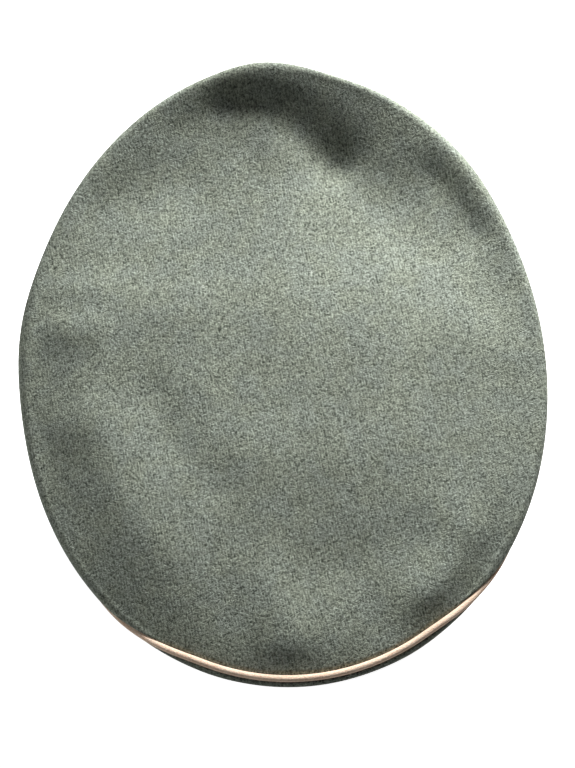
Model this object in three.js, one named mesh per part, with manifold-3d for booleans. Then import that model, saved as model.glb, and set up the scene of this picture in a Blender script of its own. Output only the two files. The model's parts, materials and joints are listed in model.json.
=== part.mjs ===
// A military peaked cap: a wide cloth crown held out by a spring wire ring, a stiffened band,
// a bound visor and a leather chin strap with two sliders, on two side buttons.
//
// Everything is in millimetres. The cap is built level, with its front towards -Y and the foot of
// its band at z = 0. At the end it leans back until it stands on the visor's edge and on the back
// of its hem, as it does on a table, and its box is centred over the origin.
//
// Rings are described station by station: an angle of 0 is the front, 90 the wearer's left (+X)
// and 180 the back. "Inset" is the distance inwards from the band's outer face.

import * as THREE from 'three';
import { LoftGeometry } from 'three/addons/geometries/LoftGeometry.js';
import { mergeVertices } from 'three/addons/utils/BufferGeometryUtils.js';
import Module from 'manifold-3d';

// ---- Driving dimensions --------------------------------------------------------------------

const BAND_HALF_LENGTH = 105.5;
const BAND_HALF_WIDTH = 88.5;
const NOSE_RADIUS = 81; // of the band's front and back arcs
const BAND_TOP = 42.5;
const PIPING_RADIUS = 1.5;

const RING_HALF_LENGTH = 140.5; // of the crown's wire ring, seen from above
const RING_HALF_WIDTH = 119.6;
const RING_FORWARD = 6;
const RING_EGG = 0.013; // how much narrower the front is
const RING_HEIGHT = 91;
const RING_PITCH = 16; // the front is this much above the mean, and the back below it
const RING_SADDLE = 7; // front and back are this much above it, and the sides below it

const CLOTH = 1.5;
const LEATHER = 1.6;
const GAP = 0.3; // between pieces that lie on each other

const VISOR_REACH = 38;
const VISOR_DROP = 33;
const VISOR_HALF_ANGLE = 70;
const VISOR_FLAT_ANGLE = 20; // the part of the edge that lies on the table

const BUTTON_ANGLE = 78.75;
const BUTTON_HEIGHT = 22.5;
const STRAP_HALF_WIDTH = 7;
const STRAP_DROOP = 10.2; // degrees that the strap hangs down towards the front
const SLIDER_ANGLE = 40;

const STATION = 7.5; // degrees between two stations of a ring

// ---- Angles and curves -----------------------------------------------------------------------

const { degToRad, smoothstep, lerp } = THREE.MathUtils;
const sin = (degrees) => Math.sin(degToRad(degrees));
const cos = (degrees) => Math.cos(degToRad(degrees));
const vec = (x, y, z) => new THREE.Vector3(x, y, z);
const outwards = (angle) => vec(sin(angle), -cos(angle), 0);

// Numbers from one angle to another, at most STATION degrees apart.
function span(from, to, step = STATION) {
  const count = Math.round(Math.abs(to - from) / step);
  return Array.from({ length: count + 1 }, (_, i) => from + ((to - from) * i) / count);
}

const ALL_ROUND = span(0, 360).slice(0, -1);

// A strip that runs all the way round, with its two ends this many degrees each side of the back.
const openAtBack = (degrees) => [180 + degrees, ...span(187.5, 532.5), 540 - degrees];

// The band's outline is an oval of four arcs. Each side arc touches both nose arcs.
const NOSE_CENTRE = BAND_HALF_LENGTH - NOSE_RADIUS;
const SIDE_RADIUS =
  (BAND_HALF_WIDTH ** 2 + NOSE_CENTRE ** 2 - NOSE_RADIUS ** 2) / (2 * (BAND_HALF_WIDTH - NOSE_RADIUS));
const SIDE_CENTRE = SIDE_RADIUS - BAND_HALF_WIDTH;
const JOIN_COSINE = NOSE_CENTRE / Math.hypot(NOSE_CENTRE, SIDE_CENTRE);

// The point of the band at that angle. The angle is the one that the band's face looks towards.
function bandAt(angle, inset, z) {
  const onNose = Math.abs(cos(angle)) > JOIN_COSINE;
  const centre = onNose
    ? vec(0, -Math.sign(cos(angle)) * NOSE_CENTRE, z)
    : vec(-Math.sign(sin(angle)) * SIDE_CENTRE, 0, z);
  return centre.addScaledVector(outwards(angle), (onNose ? NOSE_RADIUS : SIDE_RADIUS) - inset);
}

// The middle of the wire at that angle.
function ringAt(angle) {
  return vec(
    RING_HALF_WIDTH * sin(angle) * (1 - RING_EGG * cos(angle)),
    -RING_FORWARD - RING_HALF_LENGTH * cos(angle),
    RING_HEIGHT + RING_PITCH * cos(angle) + RING_SADDLE * cos(2 * angle),
  );
}

// The level direction that points out of the ring, square to the wire.
function ringOutwards(angle) {
  const along = ringAt(angle + 0.5).sub(ringAt(angle - 0.5));
  return vec(along.y, -along.x, 0).normalize();
}

// A point beside the wire: turn is 0 straight outwards and 90 straight up.
function besideRing(angle, radius, turn) {
  return ringAt(angle)
    .addScaledVector(ringOutwards(angle), radius * cos(turn))
    .add(vec(0, 0, radius * sin(turn)));
}

const CROWN_SAG = 3; // in the middle of a stretched sheet
const FRONT_DIP = 30; // how steeply it falls away inside the raised front

// A point of a sheet stretched over the ring: share is 1 at the ring and 0 in the middle.
function stretched(angle, share, inset, below) {
  const rim = ringAt(angle).addScaledVector(ringOutwards(angle), -inset);
  const dip = FRONT_DIP * share ** 3 * (1 - share) * Math.max(0, cos(angle));
  const sag = CROWN_SAG * (1 - share ** 4) + dip;
  const pitch = RING_PITCH * share * cos(angle);
  const saddle = RING_SADDLE * share ** 2 * cos(2 * angle);
  return vec(
    rim.x * share,
    lerp(-RING_FORWARD, rim.y, share),
    RING_HEIGHT + pitch + saddle - sag - below,
  );
}
// ---- Solids ----------------------------------------------------------------------------------

const wasm = await Module();
wasm.setup();

// The same shape with shared vertices merged, no flat triangles, and its faces pointing out.
function solid(geometry) {
  const bare = new THREE.BufferGeometry().copy(geometry);
  bare.deleteAttribute('normal');
  bare.deleteAttribute('uv');
  const merged = mergeVertices(bare, 1e-4);
  const corners = [vec(), vec(), vec()];
  const triangles = [];
  let volume = 0;
  for (let i = 0; i < merged.index.count; i += 3) {
    const triangle = [0, 1, 2].map((k) => merged.index.getX(i + k));
    if (new Set(triangle).size < 3) continue;
    const at = (corner, k) => corner.fromBufferAttribute(merged.attributes.position, triangle[k]);
    const [a, b, c] = corners.map(at);
    volume += a.dot(b.cross(c));
    triangles.push(triangle);
  }
  merged.setIndex((volume < 0 ? triangles.map((triangle) => triangle.reverse()) : triangles).flat());
  merged.computeVertexNormals();
  return merged;
}

// A section's area as a vector, which points along its normal.
function areaVector(section) {
  const cross = (point, i) => point.clone().cross(section[(i + 1) % section.length]);
  return section.map(cross).reduce((sum, each) => sum.add(each));
}

// A solid through closed sections, one after another: a ring, or a length with two flat ends.
function loft(sections, isRing) {
  if (isRing) return solid(new LoftGeometry([...sections, sections[0]]));
  const course = sections[1][0].clone().sub(sections[0][0]);
  const turnsBack = areaVector(sections[0]).dot(course) < 0;
  const ordered = turnsBack ? sections.map((section) => [...section].reverse()) : sections;
  return solid(new LoftGeometry(ordered, { capStart: true, capEnd: true }));
}

// A sheet's outer face is a grid of rows, one row for each station. A row runs upwards on a wall,
// and inwards on a top. These are the directions that point out of that face, at each point.
function normals(rows, closed) {
  const last = rows.length - 1;
  return rows.map((row, i) => {
    const next = rows[i < last ? i + 1 : closed ? 0 : i];
    const before = rows[i > 0 ? i - 1 : closed ? last : i];
    return row.map((_, j) => {
      const along = next[j].clone().sub(before[j]);
      const across = row[Math.min(j + 1, row.length - 1)].clone().sub(row[Math.max(j - 1, 0)]);
      return along.cross(across).normalize();
    });
  });
}

// The same grid, this far behind the outer face.
function behind(rows, depth, closed) {
  const out = normals(rows, closed);
  return rows.map((row, i) => row.map((point, j) => point.clone().addScaledVector(out[i][j], -depth)));
}

// A strip of sheet, such as a wall: a ring if it is closed.
function strip(rows, thickness, closed = false) {
  const inner = behind(rows, thickness, closed);
  return loft(rows.map((row, i) => [...row, ...inner[i].reverse()]), closed);
}

// A whole sheet over the ring: its rows run from the rim to the middle, where they all meet.
function disc(rows, thickness) {
  const loops = (grid) => grid[0].map((_, j) => grid.map((row) => row[j]));
  const centre = rows[0].at(-1).clone().lerp(rows[rows.length / 2].at(-1), 0.5);
  const point = (below) => rows.map(() => centre.clone().add(vec(0, 0, -below)));
  const under = loops(behind(rows, thickness, true));
  return solid(new LoftGeometry([point(0), ...loops(rows).reverse(), ...under, point(thickness)]));
}

// A round rod through stations. Its section at a station is given by a centre and a level
// direction across the rod.
function rod(stations, centre, across, radius, sides, closed = false) {
  const turns = span(0, 360, 360 / sides).slice(0, -1);
  const sections = stations.map((angle) =>
    turns.map((turn) =>
      centre(angle)
        .addScaledVector(across(angle), radius * cos(turn))
        .add(vec(0, 0, radius * sin(turn))),
    ),
  );
  return loft(sections, closed);
}

function toManifold(geometry) {
  const vertProperties = geometry.attributes.position.array;
  const triVerts = new Uint32Array(geometry.index.array);
  return new wasm.Manifold(new wasm.Mesh({ numProp: 3, vertProperties, triVerts }));
}

// The geometry with others cut out of it.
function cut(geometry, ...cutters) {
  const left = cutters.reduce((rest, cutter) => rest.subtract(toManifold(cutter)), toManifold(geometry));
  const mesh = left.getMesh();
  const result = new THREE.BufferGeometry();
  result.setAttribute('position', new THREE.BufferAttribute(mesh.vertProperties, 3));
  result.setIndex(new THREE.BufferAttribute(mesh.triVerts, 1));
  result.computeVertexNormals();
  return result;
}

// ---- Materials -------------------------------------------------------------------------------

function finish(color, roughness, metalness = 0) {
  return new THREE.MeshStandardMaterial({ color, roughness, metalness });
}

const crownCloth = finish(0x6b7466, 0.95);
const pipingCloth = finish(0xe9c4a8, 0.9);
const bandCloth = finish(0x24302b, 0.95);
const springSteel = finish(0x8d9094, 0.35, 1);
const brass = finish(0xb08d4a, 0.4, 1);
const cottonTape = finish(0xcfc7b2, 0.95);
const buckram = finish(0xb9ab8c, 0.95);
const fibreboard = finish(0x6a5138, 0.8);
const browBand = finish(0x9c6a3f, 0.6);
const liningSilk = finish(0xb98d45, 0.5);
const celluloid = finish(0xe8e0c0, 0.1);
const visorBlack = finish(0x0c0c0d, 0.15);
const visorUnderside = finish(0x54604f, 0.7);
const strapLeather = finish(0x151313, 0.45);
const buttonMetal = finish(0xa9adb0, 0.4, 1);

const cap = new THREE.Group();
const strap = new THREE.Group();

function add(group, name, geometry, material) {
  const mesh = new THREE.Mesh(geometry, material);
  mesh.name = name;
  group.add(mesh);
  return mesh;
}

// ---- Crown: the wire ring and what holds it ----------------------------------------------------

const WIRE_RADIUS = 1.1;
const WIRE_END = 0.3; // degrees from the back to each end of the wire
const SLEEVE_HALF_ANGLE = 6;
const SLEEVE_BORE = WIRE_RADIUS + 0.6;
const SLEEVE_RADIUS = WIRE_RADIUS + 1.4;
const CASING_RADIUS = 3;
const CASING_BORE = WIRE_RADIUS + 0.5;
const CASING_END = SLEEVE_HALF_ANGLE + 1;
const ROLL_RADIUS = CASING_RADIUS + 2 * GAP + CLOTH; // of the cloth where it turns over the wire

const wireRing = () => rod(openAtBack(WIRE_END), ringAt, ringOutwards, WIRE_RADIUS, 6);

function wireSleeve() {
  const along = (reach) => [180 - reach, 180, 180 + reach];
  const bore = rod(along(SLEEVE_HALF_ANGLE + 2), ringAt, ringOutwards, SLEEVE_BORE, 10);
  return cut(rod(along(SLEEVE_HALF_ANGLE), ringAt, ringOutwards, SLEEVE_RADIUS, 10), bore);
}

// A cloth channel folded round the wire, with its slit facing down and in. It leaves the sleeve bare.
function wireCasing() {
  const [from, to] = [-115, 205];
  const turns = span(from, to, (to - from) / 6);
  const section = (angle) => [
    ...turns.map((turn) => besideRing(angle, CASING_RADIUS, turn)),
    ...turns.map((turn) => besideRing(angle, CASING_BORE, turn)).reverse(),
  ];
  return loft(openAtBack(CASING_END).map(section), false);
}

add(cap, 'crown_wire', wireRing(), springSteel);
add(cap, 'wire_joint_sleeve', wireSleeve(), brass);
add(cap, 'wire_casing', wireCasing(), cottonTape);

// ---- Crown: the cloth --------------------------------------------------------------------------

// Where the seam between the top and the sides lies on the wire's roll: under it round the front
// and the sides, and drawn up on top of it at the back.
const SEAM_UNDER = -52;
const SEAM_ON_TOP = 64;
const DRAWN_UP = [22, 53]; // degrees from the back, between which it goes from on top to under
function seamTurn(angle) {
  const fromBack = Math.abs(THREE.MathUtils.euclideanModulo(angle, 360) - 180);
  return lerp(SEAM_ON_TOP, SEAM_UNDER, smoothstep(fromBack, ...DRAWN_UP));
}
const SEAM_HALF_TURN = 22; // from the seam to the cut edge of the cloth, around the roll

function topRow(angle) {
  const cutEdge = seamTurn(angle) + SEAM_HALF_TURN;
  const roll = span(cutEdge, 90, (90 - cutEdge) / 4);
  return [
    ...roll.map((turn) => besideRing(angle, ROLL_RADIUS, turn)),
    ...[0.93, 0.8, 0.6, 0.35].map((share) => stretched(angle, share, 0, -ROLL_RADIUS)),
  ];
}

// The side's outer face, from its foot on the band up to the seam.
const SIDE_FOOT = BAND_TOP + 2 * PIPING_RADIUS + 2 * GAP;
const FLARE_OUT = 0.3; // of the way out from the foot to the roll, half way up
const FLARE_UP = 0.5;
function sideRow(angle) {
  const foot = bandAt(angle, 0, SIDE_FOOT);
  const toFoot = foot.clone().sub(ringAt(angle));
  const outwardsToFoot = toFoot.dot(ringOutwards(angle));
  const tangentTurn = 90 + THREE.MathUtils.radToDeg(Math.atan2(toFoot.z, outwardsToFoot));
  const upperTurn = seamTurn(angle) - SEAM_HALF_TURN;
  const lowerTurn = Math.min(tangentTurn, upperTurn - 6);
  const roll = span(lowerTurn, upperTurn, (upperTurn - lowerTurn) / 2);
  const rollFoot = besideRing(angle, ROLL_RADIUS, lowerTurn);
  const flare = rollFoot.clone().sub(foot);
  flare.multiply(vec(FLARE_OUT, FLARE_OUT, FLARE_UP)).add(foot);
  const wall = new THREE.QuadraticBezierCurve3(foot, flare, rollFoot).getPoints(4);
  return [...wall.slice(0, -1), ...roll.map((turn) => besideRing(angle, ROLL_RADIUS, turn))];
}

const SEAM_GAP = 0.12; // degrees from a seam to the cut edge on each side of it
function sidePanel(from, to) {
  const stations = [from + SEAM_GAP, ...span(from + STATION, to - STATION), to - SEAM_GAP];
  return strip(stations.map(sideRow), CLOTH);
}

const PIPING_PROUD = 0.5; // the middle of the piping, past the cloth's face
function crownPiping() {
  const centre = (angle) => besideRing(angle, ROLL_RADIUS + PIPING_PROUD, seamTurn(angle));
  return rod(ALL_ROUND, centre, ringOutwards, PIPING_RADIUS, 8, true);
}

const FRONT_SEAM = 52.5;
const BACK_SEAM = 142.5;
add(cap, 'crown_top_panel', disc(ALL_ROUND.map(topRow), CLOTH), crownCloth);
add(cap, 'crown_front_panel', sidePanel(-FRONT_SEAM, FRONT_SEAM), crownCloth);
add(cap, 'crown_left_panel', sidePanel(FRONT_SEAM, BACK_SEAM), crownCloth);
add(cap, 'crown_rear_panel', sidePanel(BACK_SEAM, 360 - BACK_SEAM), crownCloth);
add(cap, 'crown_right_panel', sidePanel(360 - BACK_SEAM, 360 - FRONT_SEAM), crownCloth);
add(cap, 'crown_piping', crownPiping(), pipingCloth);

// ---- Crown: what stiffens its front ------------------------------------------------------------

// Rows of a sheet that follows the front panel this deep behind its face. Shares count up the wall.
function behindFront(stations, depth, fromShare, toShare) {
  const count = 6;
  const shares = span(fromShare, toShare, (toShare - fromShare) / count);
  const rows = stations.map((angle) => {
    const wall = new THREE.CatmullRomCurve3(sideRow(angle).slice(0, 5));
    return shares.map((share) => wall.getPoint(share));
  });
  return behind(rows, depth, false);
}

const BUCKRAM = 0.8;
const BUCKRAM_DEPTH = CLOTH + GAP;
const STAY = 0.8;
const STAY_DEPTH = BUCKRAM_DEPTH + BUCKRAM + 2 * GAP;
const STAY_HALF_ANGLE = 4;
const STAY_FOOT = 37; // above the foot of the band

// Depths of the layers inside the band, each with its gap.
const STIFFENER_INSET = 2.3;
const STIFFENER = 1.4;
const PAD_INSET = STIFFENER_INSET + STIFFENER + 0.4;
const PAD = 0.8;
const LINING_INSET = PAD_INSET + PAD + 0.2;
const LINING = 0.4;
const SWEATBAND_INSET = LINING_INSET + LINING + 0.25;
const SWEATBAND = 1.2;

// A flat spring, held behind the top of the band, that pushes the front of the crown up.
function frontStay() {
  const stations = span(-STAY_HALF_ANGLE, STAY_HALF_ANGLE, STAY_HALF_ANGLE);
  const upper = behindFront(stations, STAY_DEPTH, 0.16, 0.86);
  const rows = stations.map((angle, i) => [
    bandAt(angle, PAD_INSET, STAY_FOOT),
    bandAt(angle, PAD_INSET, BAND_TOP + 2),
    ...upper[i],
  ]);
  return strip(rows, STAY);
}

const buckramRows = behindFront(span(-37.5, 37.5), BUCKRAM_DEPTH, 0.04, 0.88);
add(cap, 'front_buckram', strip(buckramRows, BUCKRAM), buckram);
add(cap, 'front_stay', frontStay(), springSteel);

// ---- Band ------------------------------------------------------------------------------------

const HEM_HEIGHT = 1.8;
const LOWER_PIPING_Z = 2.9;
const PIPING_INSET = -0.3;

// Rows of an upright wall between two heights.
const wall = (stations, inset, low, high) =>
  stations.map((angle) => [bandAt(angle, inset, low), bandAt(angle, inset, high)]);

const bandRod = (stations, inset, z, radius, sides, closed) =>
  rod(stations, (angle) => bandAt(angle, inset, z), outwards, radius, sides, closed);

// A hole for a button's shank on the wearer's left (side 1) or right (side -1).
const BUTTON_HOLE_RADIUS = 2;
function buttonHole(side) {
  const hole = new THREE.CylinderGeometry(BUTTON_HOLE_RADIUS, BUTTON_HOLE_RADIUS, 16, 12);
  hole.applyQuaternion(buttonTurn(side));
  const place = bandAt(side * BUTTON_ANGLE, 0, BUTTON_HEIGHT);
  return solid(hole.translate(place.x, place.y, place.z));
}

// Turns a button's own +Y axis to point straight out of the band.
function buttonTurn(side) {
  return new THREE.Quaternion().setFromUnitVectors(vec(0, 1, 0), outwards(side * BUTTON_ANGLE));
}

const BAND_CLOTH = 2; // with the wadding under it
function bandCover() {
  const low = LOWER_PIPING_Z + PIPING_RADIUS + GAP;
  const cover = strip(wall(ALL_ROUND, 0, low, BAND_TOP), BAND_CLOTH, true);
  return cut(cover, buttonHole(1), buttonHole(-1));
}

function bandStiffener() {
  const rows = wall(openAtBack(0.2), STIFFENER_INSET, HEM_HEIGHT + GAP, BAND_TOP + 0.5);
  return cut(strip(rows, STIFFENER), buttonHole(1), buttonHole(-1));
}

const UPPER_PIPING_Z = BAND_TOP + PIPING_RADIUS + GAP;
const bandPiping = (z) => bandRod(ALL_ROUND, PIPING_INSET, z, PIPING_RADIUS, 8, true);

const HEM_OUTER_INSET = 1.6;
const HEM_THICKNESS = 3.1;
const hemRows = wall(ALL_ROUND, HEM_OUTER_INSET, 0, HEM_HEIGHT);

add(cap, 'band_cover', bandCover(), bandCloth);
add(cap, 'band_upper_piping', bandPiping(UPPER_PIPING_Z), pipingCloth);
add(cap, 'band_lower_piping', bandPiping(LOWER_PIPING_Z), pipingCloth);
add(cap, 'band_stiffener', bandStiffener(), fibreboard);
add(cap, 'hem_binding', strip(hemRows, HEM_THICKNESS, true), visorBlack);

// ---- Inside the band ---------------------------------------------------------------------------

const SWEATBAND_LOW = 2.6;
const SWEATBAND_HIGH = 47;
const SWEATBAND_END = 0.3; // degrees from the back to each end of it
const REED_RADIUS = 0.9;
const REED_INSET = SWEATBAND_INSET + SWEATBAND / 2;
const REED_Z = 1.3;
const TAB_THICKNESS = 0.8;

function sweatband() {
  const rows = wall(openAtBack(SWEATBAND_END), SWEATBAND_INSET, SWEATBAND_LOW, SWEATBAND_HIGH);
  return strip(rows, SWEATBAND);
}

const sweatbandReed = () => bandRod(openAtBack(SWEATBAND_END), REED_INSET, REED_Z, REED_RADIUS, 6, false);

function sweatbandTab() {
  const rows = wall(span(174, 186, 6), SWEATBAND_INSET + SWEATBAND + GAP, 8, 42);
  return strip(rows, TAB_THICKNESS);
}

const foreheadPad = () => strip(wall(span(-45, 45), PAD_INSET, 6, 34), PAD);

add(cap, 'sweatband', sweatband(), browBand);
add(cap, 'sweatband_reed', sweatbandReed(), browBand);
add(cap, 'sweatband_rear_tab', sweatbandTab(), browBand);
add(cap, 'forehead_pad', foreheadPad(), cottonTape);

// ---- Lining ------------------------------------------------------------------------------------

// The lining turns from side to top at a corner this far inside and below the wire.
const LINING_CORNER_INSET = 10;
const LINING_BELOW = 5;
const LINING_FOOT = 32; // tucked behind the sweatband
const LINING_TURN = 50; // where it leaves the band and flares out
const LINING_SLACK = 5; // how far the flare is raised above a straight line

function liningSideRow(angle) {
  const corner = ringAt(angle)
    .addScaledVector(ringOutwards(angle), LINING - LINING_CORNER_INSET)
    .add(vec(0, 0, -LINING_BELOW - LINING - 1));
  const turn = bandAt(angle, LINING_INSET, LINING_TURN);
  const flare = turn.clone().lerp(corner, FLARE_OUT).add(vec(0, 0, LINING_SLACK));
  const upper = new THREE.QuadraticBezierCurve3(turn, flare, corner).getPoints(3);
  return [bandAt(angle, LINING_INSET, LINING_FOOT), ...upper];
}

const liningTopAt = (angle, share, below) =>
  stretched(angle, share, LINING_CORNER_INSET, LINING_BELOW + below);
const liningTopRow = (angle) => [1, 0.8, 0.55, 0.3].map((share) => liningTopAt(angle, share, 0));

// A clear diamond sewn under the middle of the lining. Its corners lie along the cap and across it.
function sweatShield() {
  const [halfLength, halfWidth, thickness] = [58, 42, 0.4];
  const inset = 1.08; // the lining's rim lies this much further in than the ring, as a ratio
  const rows = [1, 0.5, 0, -0.5, -1].map((u) =>
    [-1, -0.5, 0, 0.5, 1].map((v) => {
      const x = ((u - v) / 2) * halfWidth;
      const y = ((u + v) / 2) * halfLength;
      const angle = THREE.MathUtils.radToDeg(Math.atan2(x / RING_HALF_WIDTH, -y / RING_HALF_LENGTH));
      const share = Math.hypot(x / RING_HALF_WIDTH, y / RING_HALF_LENGTH) * inset;
      return vec(x, y - RING_FORWARD, liningTopAt(angle, share, LINING + 1).z);
    }),
  );
  return strip(rows, thickness);
}

add(cap, 'lining_side', strip(ALL_ROUND.map(liningSideRow), LINING, true), liningSilk);
add(cap, 'lining_top', disc(ALL_ROUND.map(liningTopRow), LINING), liningSilk);
add(cap, 'sweat_shield', sweatShield(), celluloid);

// ---- Visor -------------------------------------------------------------------------------------

const HEEL = bandAt(180, HEM_OUTER_INSET, 0); // where the cap stands at the back
const VISOR = 1.5;
const UNDERSIDE = 0.5;
const ROOT_INSET = 0.6;
const ROOT_Z = 0.7;

const VISOR_END_REACH = 1.5;

function visorReach(angle) {
  return VISOR_END_REACH + VISOR_REACH * Math.max(0, 1 - (angle / VISOR_HALF_ANGLE) ** 2);
}

const FLOOR_SLOPE = VISOR_DROP / (HEEL.y - bandAt(0, -visorReach(0), 0).y);

// The visor's outer edge lies in one sloping plane with the heel, and rises to the band at its ends.
function visorDrop(angle) {
  const fade = 1 - smoothstep(Math.abs(angle), VISOR_FLAT_ANGLE, VISOR_HALF_ANGLE);
  return FLOOR_SLOPE * (HEEL.y - bandAt(angle, -visorReach(angle), 0).y) * fade;
}

const VISOR_CURVE = 0.15; // 0 is straight from the band to the edge

// A point of the visor's upper face: share is 0 at the band and 1 at the edge.
function visorAt(angle, share) {
  const out = lerp(ROOT_INSET, -visorReach(angle), share);
  return bandAt(angle, out, ROOT_Z - visorDrop(angle) * lerp(share, share ** 2, VISOR_CURVE));
}

const visorRow = (angle) => span(1, 0, 0.25).map((share) => visorAt(angle, share));
const visorRows = span(-VISOR_HALF_ANGLE, VISOR_HALF_ANGLE, 7).map(visorRow);

// An edge binding folded over the visor's rim. Its section is drawn out from the rim and up from it.
function edgeBinding() {
  const [upper, lower] = [1.6 * GAP, -VISOR - 3.6 * GAP - UNDERSIDE];
  const [leg, depth, clear] = [0.7, 4, GAP];
  const section = [
    [-depth, upper + leg], [clear + leg / 2, upper + leg], [clear + leg, upper + leg / 2],
    [clear + leg, lower - leg / 2], [clear + leg / 2, lower - leg], [-depth, lower - leg],
    [-depth, lower], [clear, lower], [clear, upper], [-depth, upper],
  ];
  const ups = normals(visorRows, false);
  const sections = visorRows.map((row, i) => {
    const out = row[0].clone().sub(row[1]).normalize();
    const place = ([o, u]) => row[0].clone().addScaledVector(out, o).addScaledVector(ups[i][0], u);
    return section.map(place);
  });
  return loft(sections.slice(1, -1), false);
}

const underRows = behind(visorRows, VISOR + 2 * GAP, false).slice(1, -1);
const binding = edgeBinding();
add(cap, 'visor_shell', strip(visorRows, VISOR), visorBlack);
add(cap, 'visor_underside', strip(underRows, UNDERSIDE), visorUnderside);
add(cap, 'visor_edge_binding', binding, visorBlack);

// ---- Side buttons ------------------------------------------------------------------------------

const STRAP_LAYER = 3.2; // from the band to the strap's inner layer
const SHANK_RADIUS = 1.5;

const BUTTON_RADIUS = 7;
const BUTTON_RIM = 0.8;
const BUTTON_DOME = 2.8;
const RIVET_RADIUS = 2.4; // of the shank's spread end
const RIVET_BACK = -5.5;
const RIVET = 0.5;
const WASHER_RADIUS = 4.5;
const WASHER = 0.5;

// A domed button on a shank, whose end is spread behind the washer. Heights count out of the band.
function sideButton() {
  const back = STRAP_LAYER + LEATHER + 0.5;
  const face = back + BUTTON_RIM;
  const dome = new THREE.EllipseCurve(0, face, BUTTON_RADIUS, BUTTON_DOME, 0, Math.PI / 2).getPoints(5);
  const shank = [
    [0, RIVET_BACK], [RIVET_RADIUS, RIVET_BACK], [RIVET_RADIUS, RIVET_BACK + RIVET],
    [SHANK_RADIUS, RIVET_BACK + RIVET], [SHANK_RADIUS, back], [BUTTON_RADIUS, back],
  ];
  const profile = [...shank.map(([radius, height]) => new THREE.Vector2(radius, height)), ...dome];
  profile.at(-1).x = 0;
  return solid(new THREE.LatheGeometry(profile, 16));
}

function buttonWasher() {
  const outline = new THREE.Shape().absarc(0, 0, WASHER_RADIUS, 0, 2 * Math.PI);
  outline.holes.push(new THREE.Path().absarc(0, 0, SHANK_RADIUS + GAP, 0, 2 * Math.PI));
  const settings = { depth: WASHER, bevelEnabled: false, curveSegments: 8 };
  const washer = new THREE.ExtrudeGeometry(outline, settings);
  return solid(washer.rotateX(-Math.PI / 2).translate(0, -PAD_INSET - 0.7, 0));
}

for (const [name, side] of [['left', 1], ['right', -1]]) {
  for (const mesh of [
    add(cap, `side_button_${name}`, sideButton(), buttonMetal),
    add(cap, `button_washer_${name}`, buttonWasher(), brass),
  ]) {
    mesh.position.copy(bandAt(side * BUTTON_ANGLE, 0, BUTTON_HEIGHT));
    mesh.quaternion.copy(buttonTurn(side));
  }
}

// ---- Chin strap --------------------------------------------------------------------------------

// The strap turns on the line through both buttons. In its own frame it is level, with the buttons
// at y = 0, and its front is one true arc, so that the sliders can follow it.
const PIVOT = vec(0, bandAt(BUTTON_ANGLE, 0, 0).y, BUTTON_HEIGHT);
const STRAP_FORWARD = 2.8; // how far its front stands off the band's own curve
const STRAP_FREE = [56, 77]; // degrees, between which it comes back to that curve
const SLIDER_CENTRE = vec(0, -NOSE_CENTRE - STRAP_FORWARD - PIVOT.y, 0);
const SLIDER_WALL = 0.8;
const SLIDER_LENGTH = 7;

function strapAt(angle, out, z) {
  const forward = STRAP_FORWARD * (1 - smoothstep(Math.abs(angle), ...STRAP_FREE));
  return bandAt(angle, -out, z).add(vec(0, -forward - PIVOT.y, 0));
}

const TIP_ANGLE = 46; // where each half of the strap ends, past the other half's slider
const END_ANGLE = 82; // the rounded end past the button
const END_STEP = 0.8; // degrees between stations where an end is rounded
const STRAP_STEP = 4;

// Half of the strap, from its button round the front to its tip. The outer half rises over the
// inner one between its own button and the inner half's tip.
function strapHalf(side, isOuter) {
  const stations = [
    ...span(END_ANGLE, END_ANGLE - 5 * END_STEP, END_STEP),
    ...span(END_ANGLE - 6, STRAP_STEP - TIP_ANGLE, STRAP_STEP),
    ...span(4 * END_STEP - TIP_ANGLE, -TIP_ANGLE, END_STEP),
  ];
  const sections = stations.map((angle) => {
    const lift = isOuter ? (LEATHER + GAP) * (1 - smoothstep(angle, TIP_ANGLE + 1.5, 62)) : 0;
    const fromButtonEnd = degToRad(END_ANGLE - angle) * SIDE_RADIUS;
    const fromTip = degToRad(angle + TIP_ANGLE) * (NOSE_RADIUS + STRAP_LAYER);
    const round = Math.min(1, (Math.min(fromButtonEnd, fromTip) + 1) / STRAP_HALF_WIDTH);
    const half = STRAP_HALF_WIDTH * Math.sqrt(1 - (1 - round) ** 2);
    const inner = STRAP_LAYER + lift;
    return [[inner, -half], [inner + LEATHER, -half], [inner + LEATHER, half], [inner, half]].map(
      ([out, z]) => strapAt(side * angle, out, z),
    );
  });
  const radius = SHANK_RADIUS + 1;
  const hole = new THREE.CylinderGeometry(radius, radius, 8, 12).applyQuaternion(buttonTurn(side));
  const place = strapAt(side * BUTTON_ANGLE, STRAP_LAYER + LEATHER / 2, 0);
  return cut(loft(sections, false), solid(hole.translate(place.x, place.y, place.z)));
}

// A metal loop round both layers, made across the front of the strap: x runs along the strap.
function slider() {
  const [inner, outer] = [STRAP_LAYER - GAP, STRAP_LAYER + 2 * LEATHER + 2 * GAP];
  const half = STRAP_HALF_WIDTH + 0.6;
  const rectangle = (grow) => [
    new THREE.Vector2(-half - grow, inner - grow), new THREE.Vector2(half + grow, inner - grow),
    new THREE.Vector2(half + grow, outer + grow), new THREE.Vector2(-half - grow, outer + grow),
  ];
  const outline = new THREE.Shape(rectangle(SLIDER_WALL));
  outline.holes.push(new THREE.Path(rectangle(0)));
  const loop = new THREE.ExtrudeGeometry(outline, { depth: SLIDER_LENGTH, bevelEnabled: false });
  loop.translate(0, NOSE_RADIUS, -SLIDER_LENGTH / 2);
  const upright = new THREE.Matrix4().makeBasis(vec(0, 0, 1), vec(0, -1, 0), vec(1, 0, 0));
  return solid(loop.applyMatrix4(upright));
}

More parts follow.
